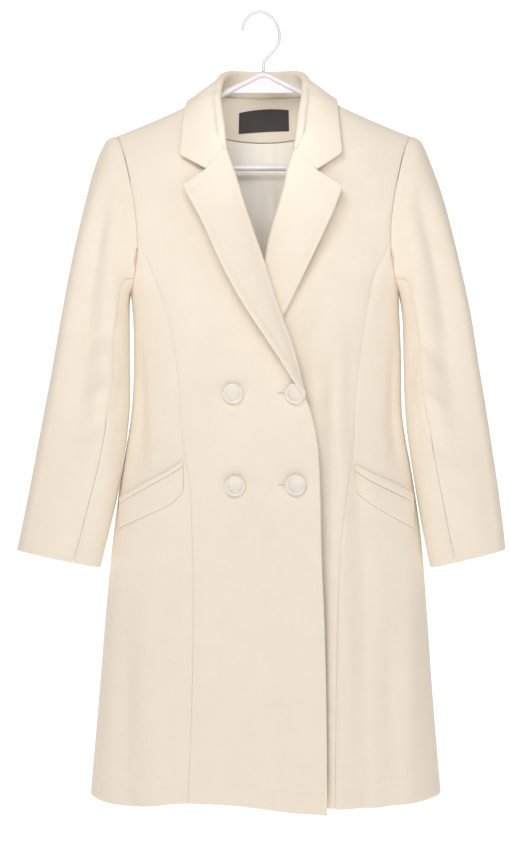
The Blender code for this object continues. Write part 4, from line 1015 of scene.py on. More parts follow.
@dataclass
class Lapels(Cloth):
    """The lapels, which wrap round the fronts' edges from inside and lie on the chest."""

    step: float = 3.6
    wrap_depth: float = 12.0
    wrap_depth_top: float = 2.0
    spring: float = 0.7
    notch_share: float = 0.5
    arc_steps: int = 12
    margin: float = 9.0
    margin_rise: float = 1.1
    corner: float = 5.0
    width: float = 62.0
    width_step: float = 0.9
    back_shares: tuple[float, ...] = (1.0, 0.66, 0.33, 0.0)
    end_fade: Span = (0.06, 0.02)
    thin_drops: Span = (485.0, 528.0)
    thin_share: float = 0.5
    thickens: float = 3.0
    cut: Flat = Flat(0.1, 0.34, 0.024)
    rows: dict[Side, tuple[LapelRow, ...]] = field(
        default_factory=lambda: {
            Side.RIGHT: every(
                LapelRow,
                (-50, 194, -107.5, 246.5, 15), (-37, 231, -98, 264, 17), (-23, 277, -79, 300, 18),
                (0, 345, -55, 354, 18), (14, 390, -29, 404, 16), (26, 425, -3, 445, 14),
                (39.5, 462, 17.5, 476, 11), (46.5, 490, 29, 495, 9), (52, 508, 38.5, 510, 7.5),
                (55, 519, 45.5, 520, 5), (57, 528, 52.5, 528.5, 2.5),
            ),
            Side.LEFT: every(
                LapelRow,
                (41, 194, 104.5, 246.5, 13), (29.9, 231, 95, 274, 14), (17.1, 277, 78, 313, 12),
                (7.1, 311, 64, 344, 8.5), (0, 345, 53.5, 367, 5), (-14, 390, 38, 400, 1.5),
                (-26, 425, 23, 427, 0.6), (-38, 462, -4, 462, 0.5), (-48, 500, -28, 498, 0.5),
            ),
        }
    )
    notches: dict[Side, Span] = field(
        default_factory=lambda: {Side.RIGHT: (-76.2, 224.5), Side.LEFT: (70.2, 225.5)}
    )

    def row_numbers(self, side: Side) -> Array:
        """Row numbers of the grid, close set at the gorge and the lower end."""
        table = self.rows[side]
        span = table[-1].roll_drop - table[0].roll_drop
        shares = fine_steps(span, self.step, True, True)
        drops = table[0].roll_drop + shares * span
        return np.interp(drops, [r.roll_drop for r in table], range(len(table)))

    def skins(self, side: Side, r: Array, shares: Array) -> tuple[Array, Array]:
        """Outer and inner grids: round the front's edge from inside, then out to the lapel's own edge.

        Args:
            side: which lapel.
            r: row numbers, whole or part.
            shares: shares of the way from the roll line to the edge.

        Returns:
            The two grids.
        """
        table, notch, lift = self.rows[side], self.notches[side], DRAPE.front(side)
        r = r[:, None]
        roll_drop = read_table(table, "roll_drop")(r)
        edge_x = read_table(table, "edge_x")(r)
        edge_drop = read_table(table, "edge_drop")(r)
        high = read_table(table, "lift")(r)
        roll_x = CUT.roll_x(side, roll_drop)
        up = lift(roll_x, roll_drop)
        depth = mix(self.wrap_depth_top, self.wrap_depth, np.clip(r / 2, 0, 1))
        full = CUT.wrap_share(roll_drop)
        gap, wrap = LAPEL_GAP * full, WRAP_CLOTH * full
        back_reach = depth * np.array(self.back_shares)[None, :]
        near, far = up + gap, up - COAT_CLOTH - gap
        middle, radius = (near + far) / 2, (near - far) / 2
        turn = np.linspace(-math.pi / 2, math.pi / 2, self.arc_steps + 1)[None, 1:]
        reach = np.concatenate((-back_reach, gap * np.cos(turn)), axis=1)
        outer_reach = np.concatenate((-back_reach, (gap + wrap) * np.cos(turn)), axis=1)
        low_height = np.concatenate((far + 0 * back_reach, middle + radius * np.sin(turn)), axis=1)
        high_height = np.concatenate(
            (far - wrap + 0 * back_reach, middle + (radius + wrap) * np.sin(turn)), axis=1
        )
        start = roll_x - side.value * np.minimum(0.0, reach)
        points, out = FORM.surface(start, roll_drop + 0 * reach, True)
        across = np.array((-side.value, 0.0, 0.0))
        wrap_in = points + across * np.maximum(0, reach)[..., None] + out * low_height[..., None]
        wrap_out = points + across * np.maximum(0, outer_reach)[..., None] + out * high_height[..., None]
        s = shares[None, :]
        x, drop = mix(roll_x, edge_x, s), mix(roll_drop, edge_drop, s)
        at = self.notch_share
        first = np.clip(s / at, 0, 1)
        rest = np.clip((s - at) / (1 - at), 0, 1)
        top_x = mix(mix(roll_x[:1], notch[0], first), edge_x[:1], rest)
        top_drop = mix(mix(roll_drop[:1], notch[1], first), edge_drop[:1], rest)
        straight_x, straight_drop = mix(roll_x[:1], edge_x[:1], s), mix(roll_drop[:1], edge_drop[:1], s)
        near_top = np.maximum(0.0, 1 - r)
        x = x + (top_x - straight_x) * near_top
        drop = drop + (top_drop - straight_drop) * near_top
        points, out = FORM.surface(x, drop, True)
        height = lift(x, drop) + gap + high * s**self.spring
        folded = FOLDED_CLOTH * mix(1.0, self.thin_share, ease(roll_drop, *self.thin_drops))
        thick = mix(wrap, folded, np.clip(self.thickens * s, 0, 1))
        flat_in = points + out * height[..., None]
        flat_out = points + out * (height + thick)[..., None]
        return np.concatenate((wrap_out, flat_out), axis=1), np.concatenate((wrap_in, flat_in), axis=1)

    def build(self, finish: Finish) -> list[Piece]:
        """Both lapels."""
        made = []
        shares = fine_steps(self.width, self.step * self.width_step, False, True)[1:]
        before, after = self.end_fade
        past_notch = ease(shares, self.notch_share - before, self.notch_share + after)
        for side in Side:
            node = f"lapel_{side.word}"
            outer, inner = self.skins(side, self.row_numbers(side), shares)
            ends = np.concatenate((np.zeros(outer.shape[1] - len(shares)), past_notch))
            shell = Shell(
                node, outer, inner, Border.FREE, Border.PLAIN, Border.PLAIN, Border.FREE,
                margin=self.margin, margin_rise=self.margin_rise, end_free=ends[None, :], corner=self.corner,
            )
            carriers = (f"front_{side.word}", "collar")
            made.append(self.dress(shell.build(), node, finish, "wool", self.cut, carriers))
        return made


class CollarRow(NamedTuple):
    """One section of the collar: neck seam, roll line and the fall's edge with its lift off the body."""

    seam_x: float
    seam_drop: float
    seam_y: float
    roll_x: float
    roll_drop: float
    roll_y: float
    edge_x: float
    edge_y: float
    lift: float


@dataclass
class Collar(Cloth):
    """The collar: a stand, the roll and the fall, from one gorge round the neck to the other."""

    lapels: Lapels = field(default_factory=Lapels)
    shift: float = -4.0
    rows: tuple[CollarRow, ...] = every(
        CollarRow,
        (0, 114, 41.5, 0, 74, 44, 0, 45, 6), (26, 114, 38, 25, 74.3, 40, 32, 40, 6),
        (48, 113, 30, 43, 77, 27, 62, 29, 6), (64, 111.5, 15, 52, 86, 9, 90, 14, 5),
        (71, 110, 0, 54.5, 98, -9, 100.5, 1, 4.5), (68.5, 114, -10, 55, 107, -17, 103, -11, 4.5),
        (63.5, 122, -20, 55, 118, -31, 104.5, -20, 5), (55.5, 143, -34, 52, 146, -47.5, 106, -30, 7),
        (53, 168, -45, 48.6, 171, -57, 107.5, -38, 9),
    )
    points: dict[Side, Triple] = field(
        default_factory=lambda: {Side.RIGHT: (108.6, -42.3, 11.0), Side.LEFT: (109.5, -43.0, 11.0)}
    )
    corner: float = 5.0
    roll_radius: float = 3.9
    stand: int = 10
    roll: int = 14
    bulge: float = 2.6
    roll_pull: float = 0.7
    gorge_gap: float = 0.3
    around: int = 9
    margin: float = 9.0
    margin_rise: float = 1.1
    fall: float = 62.0
    fall_step: float = 2.8
    shift_rows: Span = (2.0, 7.0)
    gorge_steps: int = 6
    gorge_shift: Triple = (0.7, 0.0, 0.7)
    end_length: float = 26.0
    end_step: float = 2.6
    free_from: Span = (0.42, 0.5)
    cut: Flat = Flat(0.11, 0.5, 0.037)

    def fall_shares(self) -> Array:
        """Shares across the fall, close set at its edge."""
        return fine_steps(self.fall, self.fall_step, False, True)[1:]

    def section(self, side: int, row: CollarRow, k: int) -> Array:
        """Points of the cloth's middle from the neck seam over the roll to the fall's edge."""
        move = np.array((self.shift * float(ease(k, *self.shift_rows)), 0, 0))
        seam = np.array((side * row.seam_x, row.seam_y, -row.seam_drop)) + move
        roll = np.array((side * row.roll_x, row.roll_y, -row.roll_drop)) + move
        edge = FORM.place_on(side * row.edge_x + move[0], row.edge_y, row.lift)
        rise = unit(roll - seam)
        away = edge - roll
        away = unit(away - rise * np.dot(away, rise))
        centre = roll - rise * self.roll_radius + away * self.roll_radius
        inner_end = centre - away * self.roll_radius
        points = [mix(seam, inner_end, s) for s in np.arange(self.stand) / self.stand]
        for turn in np.linspace(0, math.pi, self.roll + 1):
            points.append(centre + self.roll_radius * (rise * math.sin(turn) - away * math.cos(turn)))
        start = points[-1]
        out = unit(np.cross(edge - start, unit(np.cross(edge - roll, seam - roll))))
        if np.dot(out, edge - seam) < 0:
            out = -out
        down = -rise * float(np.linalg.norm(edge - start)) * self.roll_pull
        for s in self.fall_shares():
            curve = s * (1 - s) ** 2 * (down - (edge - start))
            points.append(mix(start, edge, s) + curve + out * self.bulge * math.sin(math.pi * s) ** 2)
        return np.array(points)

    def end(self, side: Side) -> Array:
        """The front end: along the gorge to the notch, then out to the collar's point."""
        shares = np.linspace(0, 1, self.gorge_steps + 1)[1:]
        outer, inner = self.lapels.skins(side, np.array((0.0, 1.0)), shares)
        away = np.array(self.gorge_shift) * (side.value, 1, 1)
        middle = (outer[0] + inner[0]) / 2 + away * self.gorge_gap
        turn = len(middle) - len(shares) - 1
        steps = self.stand + self.roll
        keys = np.arange(turn + 1)
        path = Curve(keys, middle[: turn + 1])
        points = [path(turn * k / steps) for k in range(steps)]
        half = self.gorge_steps // 2
        to_notch = middle[turn : turn + half + 1]
        x, y, lift = self.points[side]
        tip = FORM.place_on(side.value * x + self.shift, y, lift)
        line = np.concatenate((to_notch, [mix(to_notch[-1], tip, c / half) for c in range(1, half + 1)]))
        for place in np.concatenate(([0.0], self.fall_shares())) * self.gorge_steps:
            low = min(int(place), self.gorge_steps - 1)
            points.append(mix(line[low], line[low + 1], place - low))
        return np.array(points)

    def middle(self) -> Array:
        """The grid of the cloth's middle, from one front end to the other."""
        halves = []
        for side in Side:
            sections = [self.section(side.value, row, k) for k, row in enumerate(self.rows)]
            sections.append(self.end(side))
            line = Curve(range(len(sections)), np.array(sections))
            last = len(self.rows) - 1
            steps = np.linspace(0, last, last * self.around + 1)
            end = fine_steps(self.end_length, self.end_step, False, True)
            steps = np.concatenate((steps, last + end[1:]))
            halves.append(line(steps))
        return np.concatenate((halves[0][::-1], halves[1][1:]))

    def build(self, finish: Finish) -> Piece:
        """The collar piece."""
        grid = self.middle()
        out = grid_normals(grid) * COLLAR_CLOTH / 2
        falls = ease(self.fall_shares(), *self.free_from)
        ends = np.concatenate((np.zeros(self.stand + self.roll + 1), falls))
        shell = Shell(
            "collar", grid + out, grid - out, Border.FREE, Border.FREE, Border.PLAIN, Border.FREE,
            margin=self.margin, margin_rise=self.margin_rise, end_free=ends[None, :], corner=self.corner,
        )
        carriers = ("back", "lapel_right", "lapel_left", "hanger_body")
        return self.dress(shell.build(), "collar", finish, "wool", self.cut, carriers)


class SleeveRow(NamedTuple):
    """One section of a sleeve: outer and inner outline seen from the front, half depth and place."""

    outer_x: float
    outer_drop: float
    inner_x: float
    inner_drop: float
    half_depth: float
    centre_y: float


class SleeveFold(NamedTuple):
    """A fold of a sleeve between two places, each a row number and a turn in degrees."""

    row_from: float
    turn_from: float
    row_to: float
    turn_to: float
    width: float
    height: float


@dataclass
class Sleeves(Cloth):
    """The two-piece sleeves, open at the cuffs."""

    roundness: float = 2.2
    cap_rows: float = 6.0
    gap: float = 0.15
    allowance: float = 4.5
    allowance_depth: float = 4.0
    head_sink: float = 0.45
    clear: float = 1.4
    seam_gap: float = 0.5
    front_turn_top: float = math.radians(45)
    front_turn_cuff: float = math.radians(70)
    back_turn: float = math.radians(60)
    front_station: float = 8.0
    back_station: float = 4.0
    hem_line: float = 34.0
    station_steps: int = 6
    row_steps: int = 8
    first_rows: tuple[float, ...] = (0.0, 0.02, 0.06)
    cuff: float = 34.0
    cuff_step: float = 3.4
    under_clear: float = 60.0
    body_grow: float = 1.0
    inward_shift: float = 60.0
    head_reach: float = 2.0
    seam_shares: tuple[float, ...] = (0.12, 0.45)
    fold_scale: float = 52.0
    fold_gain: float = 1.3
    fold_widths: Span = (1.25, 0.8)
    fold_start: Span = (-0.05, 0.3)
    fold_stop: Span = (0.7, 1.08)
    fold_rows: Span = (0.6, 2.2)
    wander: float = 0.3
    wander_turn: float = 3.7
    cuts: dict[str, Flat] = field(
        default_factory=lambda: {"under": Flat(0.14, 0.46, 0.041), "upper": Flat(0.26, 0.62, 0.118)}
    )
    tables: dict[Side, tuple[SleeveRow, ...]] = field(
        default_factory=lambda: {
            Side.RIGHT: every(
                SleeveRow,
                (204.5, 171, 184, 390, 43, -2), (210, 172.5, 186, 397, 44, -2),
                (219, 180, 186, 402, 45, -3), (232.5, 210, 186, 408, 46, -3),
                (246, 260, 185.5, 420, 46, -4), (262, 330, 185, 440, 45, -5),
                (278, 415, 184.5, 480, 44, -7), (290, 485, 184, 530, 43, -9),
                (300, 540, 187, 575, 42, -11), (311, 600, 193.5, 630, 40, -14),
                (322, 660, 205, 685, 37, -17), (332, 710, 216, 732, 34, -20),
                (338.5, 741, 224, 765, 32, -22),
            ),
            Side.LEFT: every(
                SleeveRow,
                (204.5, 171, 187.5, 390, 43, -2), (210, 172.5, 189.5, 397, 44, -2),
                (219, 180, 190, 402, 45, -3), (231, 207, 191, 408, 46, -3), (250, 262, 192, 420, 46, -4),
                (268, 335, 193, 440, 45, -5), (285, 415, 193.5, 480, 44, -7),
                (296, 485, 194.5, 530, 43, -9), (305, 540, 197.5, 575, 42, -11),
                (314, 600, 205, 630, 40, -14), (322.5, 660, 213.5, 685, 38, -17),
                (329, 710, 222, 732, 35, -20), (332, 740, 229, 765, 33, -22),
            ),
        }
    )
    folds: dict[Side, tuple[SleeveFold, ...]] = field(
        default_factory=lambda: {
            Side.RIGHT: every(
                SleeveFold,
                (2.2, 62, 9.5, 88, 14.9, -7.6), (3, 30, 12.4, 42, 15, 2.7), (3.4, 112, 9, 126, 12, 3.8),
                (5.4, 140, 6.6, 70, 9, -3.4), (6.4, 150, 7.6, 82, 8, 2.8), (7.3, 148, 8.6, 84, 9, -3),
                (9.2, 120, 12.6, 92, 12, -3), (3, 250, 10, 268, 16.1, -6.3),
                (5.6, 200, 7.2, 262, 10, -3.4), (7.4, 196, 8.8, 258, 10, 3),
                (3.4, 318, 11.5, 305, 16, 3.4),
            ),
            Side.LEFT: every(
                SleeveFold,
                (2, 64, 9.2, 84, 16.1, -7.1), (3.2, 28, 12.4, 44, 15, 3), (3.2, 114, 8.6, 128, 12, 3.8),
                (5.6, 142, 6.9, 74, 9, -3.2), (6.7, 150, 7.9, 84, 8, 2.7), (7.7, 146, 9, 88, 9, -2.8),
                (9.4, 118, 12.6, 90, 12, -2.8), (3.2, 252, 9.6, 270, 16.1, -6.3),
                (5.8, 202, 7.5, 260, 10, -3.2), (7.7, 198, 9.1, 256, 10, 2.8),
                (3.6, 316, 11.3, 302, 16, 3.4),
            ),
        }
    )

    def oval(self, side: Side, row: Array, angle: Array) -> Array:
        """Points of the sleeve's sections. The angle is 0 outside and grows towards the front."""
        read = {name: read_table(self.tables[side], name)(row) for name in SleeveRow._fields}
        power = 2 / self.roundness
        along = np.sign(np.cos(angle)) * np.abs(np.cos(angle)) ** power
        deep = np.sign(np.sin(angle)) * np.abs(np.sin(angle)) ** power
        zero = 0 * along
        outer = np.stack((read["outer_x"] + zero, zero, zero - read["outer_drop"]), axis=-1)
        inner = np.stack((read["inner_x"] + zero, zero, zero - read["inner_drop"]), axis=-1)
        move = np.stack((zero, read["centre_y"] - read["half_depth"] * deep, zero), axis=-1)
        return (outer + inner) / 2 + (outer - inner) / 2 * along[..., None] + move

    def beside_body(self, points: Array, clear: Array) -> Array:
        """Moves points out until they are clear of the coat's side."""
        drop = -points[..., 2]
        y = points[..., 1]
        deep = np.where(y < 0, FORM.girth(drop, "front"), FORM.girth(drop, "back")) + self.body_grow
        ratio = np.minimum(1.0, np.abs(y) / deep)
        wide = FORM.half_width(self._sign, drop)
        reach = wide * (1 - ratio**FORM.roundness) ** (1 / FORM.roundness) + clear
        free = (ratio >= 1.0) | (drop < FORM.underarm - self.under_clear)
        moved = points.copy()
        moved[..., 0] = np.where(free, points[..., 0], np.maximum(points[..., 0], reach))
        return moved

    def rings(self, side: Side) -> tuple[Array, Array, dict[str, int], Array]:
        """The outer surface, each ring from the shoulder down the front and up the back.

        The first two rings are the seam allowance, which turns in under the body's cloth.

        Returns:
            The points, each one's row and angle, the seams' columns and the first rings' normals.
        """
        self._sign = side.value
        under_at = LAST_STATION * self.station_steps
        front = np.linspace(0, LAST_STATION, under_at + 1)
        back = np.linspace(LAST_STATION, 0, under_at + 1)[1:-1]
        hole, rise = [], []
        for stations, is_front in ((front, True), (back, False)):
            drop = CUT.armhole_drops(stations)
            x = CUT.armhole_x(is_front, drop, side.value)
            points, normals = FORM.surface(x, drop, is_front)
            points[..., 0] = np.abs(points[..., 0])
            normals[..., 0] = np.abs(normals[..., 0])
            hole.append(points)
            rise.append(normals)
        hole, rise = np.concatenate(hole), np.concatenate(rise)
        ahead = np.concatenate((hole[1:], hole[:1]))
        lengths = np.concatenate(([0.0], np.cumsum(np.linalg.norm(ahead - hole, axis=-1))))
        count = len(hole)
        front_at = int(round(self.front_station * self.station_steps))
        back_at = under_at + 1 + int(np.argmin(np.abs(back - self.back_station)))
        knots = np.array((0, front_at, under_at, back_at, count))
        last = len(self.tables[side]) - 1
        steps = np.concatenate([j + np.arange(self.row_steps) / self.row_steps for j in range(last)])
        close = last - 1 + fine_steps(self.cuff, self.cuff_step, False, True)
        plain = steps[(steps > self.first_rows[-1]) & (steps < last - 1)]
        row = np.concatenate((self.first_rows, plain, close))[:, None]
        part = np.clip(np.searchsorted(knots, np.arange(count), side="right") - 1, 0, 3)
        share = (lengths[:count] - lengths[knots[part]]) / (lengths[knots[part + 1]] - lengths[knots[part]])

        def angles_at(front_turn: Array) -> Array:
            none = 0 * front_turn
            turns = (none, math.pi - front_turn, none + math.pi, none + math.pi + self.back_turn)
            table = np.stack((*turns, none + 2 * math.pi), axis=-1)
            return mix(table[..., part], table[..., part + 1], share)

        turn = mix(self.front_turn_top, self.front_turn_cuff, row[:, 0] / last)
        angle = angles_at(turn)
        points = self.oval(side, row, angle)
        first = angles_at(np.full(1, self.front_turn_top))
        seat = hole + np.array((self.gap, 0, 0))
        offset = seat - self.oval(side, np.zeros((1, 1)), first)[0]
        weight = np.maximum(0.0, 1 - row / self.cap_rows) ** 2
        points = points + offset[None] * weight[..., None]
        points = self.beside_body(points, self.clear * np.minimum(1.0, row))
        inward = hole - hole.mean(axis=0) - np.array((self.inward_shift, 0.0, 0.0))
        inward = unit(inward - rise * np.sum(inward * rise, axis=-1, keepdims=True))
        under = points[0] - rise * self.allowance_depth
        points = np.concatenate(((under + inward * self.allowance)[None], under[None], points))
        turned = np.stack((rise, unit(rise + inward), unit(rise + inward)))
        points[..., 0] *= side.value
        turned[..., 0] *= side.value
        row = np.concatenate((np.zeros((2, 1)), row))
        angle = np.concatenate((angle[:1], angle[:1], angle))
        seams = {"front": front_at, "back": back_at, "count": count}
        return points, np.concatenate((row, angle), axis=1), seams, turned

    def crease(self, side: Side, row: Array, angle: Array) -> Array:
        """Height of the sleeve's folds in the place given by row and angle."""
        total = 0 * angle
        around = down = self.fold_scale
        for k, f in enumerate(self.folds[side]):
            start, stop = math.radians(f.turn_from), math.radians(f.turn_to)
            run = np.array(((f.row_to - f.row_from) * down, (stop - start) * around))
            length = float(np.hypot(*run))
            run = run / length
            a = (row - f.row_from) * down
            b = (np.mod(angle - start + math.pi, 2 * math.pi) - math.pi) * around
            along = (a * run[0] + b * run[1]) / length
            beside = a * run[1] - b * run[0] + self.wander * f.width * np.sin(self.wander_turn * along + k)
            fade = ease(along, *self.fold_start) * (1 - ease(along, *self.fold_stop))
            wide = f.width * np.where(beside > 0, *self.fold_widths)
            total = total + self.fold_gain * f.height * fade * np.exp(-((beside / wide) ** 2))
        return total * ease(row, *self.fold_rows)

    @staticmethod
    def outward(points: Array, middle: Array) -> Array:
        """The directions out of a sleeve, away from its middle line."""
        out = grid_normals(points, ring=True)
        return out * np.sign(np.sum(out * (points - middle), axis=-1).mean())

    def close_to_seams(self, outer: Array, normal: Array) -> tuple[Array, Array]:
        """Adds columns beside a piece's two seams, where its cloth sinks in."""
        for _ in ("first", "last"):
            near = [mix(outer[:, :1], outer[:, 1:2], s) for s in self.seam_shares]
            outer = np.concatenate([outer[:, :1], *near, outer[:, 1:]], axis=1)[:, ::-1]
            normal = np.concatenate([normal[:, :1]] * (len(near) + 1) + [normal[:, 1:]], axis=1)[:, ::-1]
        return outer, normal

    def build(self, finish: Finish) -> list[Piece]:
        """The upper and under piece of both sleeves."""
        made = []
        for side in Side:
            points, places, seams, turned = self.rings(side)
            row, angle = places[:, :1], places[:, 1:]
            middle = points.mean(axis=1, keepdims=True)
            out = self.outward(points, middle)
            from_seam = np.linalg.norm(points - points[2], axis=-1)
            below_seam = (np.arange(len(points)) >= 2)[:, None]
            head = self.head_sink * np.exp(-((from_seam / self.head_reach) ** 2)) * below_seam
            points = points + out * (self.crease(side, row, angle) - head)[..., None]
            out = self.outward(points, middle)
            out[: len(turned)] = turned
            count = seams["count"]
            picks = {
                "under": np.arange(seams["front"], seams["back"] + 1),
                "upper": np.arange(seams["back"], seams["front"] + count + 1) % count,
            }
            for word, pick in picks.items():
                node = f"sleeve_{word}_{side.word}"
                outer = points[:, pick].copy()
                for end, beside in ((0, 1), (-1, -2)):
                    outer[:, end] += unit(outer[:, beside] - outer[:, end]) * self.seam_gap / 2
                outer, normal = self.close_to_seams(outer, out[:, pick])
                shell = Shell(
                    node, outer, outer - normal * COAT_CLOTH, Border.PLAIN, Border.FREE,
                    Border.SEAM, Border.SEAM, groove=self.hem_line,
                )
                carriers = (f"front_{side.word}", f"side_front_{side.word}", "back")
                made.append(self.dress(shell.build(), node, finish, "wool", self.cuts[word], carriers))
        return made


class PocketRow(NamedTuple):
    """Levels of a pocket at one distance from the centre: the band's top, the fold and the welt's foot."""

    x: float
    top: float
    fold: float
    foot: float


@dataclass
class Pockets(Cloth):
    """The slanting pockets: a narrow edge band above a wide welt."""

    step: float = 2.6
    lay_gap: float = 0.7
    band_cloth: float = 2.2
    welt_cloth: float = 2.4
    width: float = 105.0
    levels: Triple = (650.0, 670.0, 690.0)
    puff: float = 0.5
    flat_width: float = 0.105
    flat_share: float = 0.96
    flat_lengths: dict[Side, Span] = field(
        default_factory=lambda: {Side.RIGHT: (0.0108, 0.0385), Side.LEFT: (0.0138, 0.033)}
    )
    rows: dict[Side, tuple[PocketRow, ...]] = field(
        default_factory=lambda: {
            Side.RIGHT: every(
                PocketRow,
                (107, 615.5, 624, 657), (123, 627, 635, 674), (150, 642, 650, 688),
                (174, 655.5, 664, 699), (190, 665, 674, 707), (199, 671, 681, 712),
            ),
            Side.LEFT: every(
                PocketRow,
                (121.5, 621, 630, 656), (140, 631, 643, 673), (162, 641.5, 654.5, 687),
                (183, 651.5, 665, 699), (198, 659.5, 673, 707), (207, 665, 679, 712),
            ),
        }
    )

    def build(self, finish: Finish) -> list[Piece]:
        """The bands and welts of both pockets."""
        made = []
        for side in Side:
            band, welt = self.flat_lengths[side]
            bands = (
                ("pocket_edge", "top", "fold", self.band_cloth, 0.0, band),
                ("pocket_welt", "fold", "foot", self.welt_cloth, SEAM_GAP, welt),
            )
            table = self.rows[side]
            keys = [p.x for p in table]
            high_level, mid_level, low_level = self.levels
            first = FORM.angle_of(side.value * keys[0], high_level)
            last = FORM.angle_of(side.value * keys[-1], low_level)
            shares = fine_steps(self.width, self.step, True, True)
            sign = np.full(len(shares), float(side.value))
            x = FORM.x_of(sign, mid_level + 0 * sign, mix(first, last, shares))
            for name, top, foot, thick, start, length in bands:
                node = f"{name}_{side.word}"
                high = Curve(keys, [getattr(p, top) for p in table])(np.abs(x)) + start
                low = Curve(keys, [getattr(p, foot) for p in table])(np.abs(x))
                share = fine_steps(float(np.mean(low - high)), self.step, True, True)[:, None]
                drop = mix(high[None, :], low[None, :], share)
                across = x[None, :] + 0 * drop
                puff = self.puff * np.sin(math.pi * share) * np.sqrt(np.sin(math.pi * shares[None, :]))
                lift = DRAPE.soft(side.word, across, drop) + self.lay_gap + thick + puff
                outer, inner = on_form(across, drop, True, lift, thick)
                inner = outer + (inner - outer) * (thick + puff)[..., None] / thick
                shell = Shell(node, outer, inner, Border.FREE, Border.FREE, Border.FREE, Border.FREE)
                cut = Flat(self.flat_width, length, self.flat_width * length * self.flat_share)
                carriers = (f"side_front_{side.word}",)
                made.append(self.dress(shell.build(), node, finish, "wool", cut, carriers))
        return made


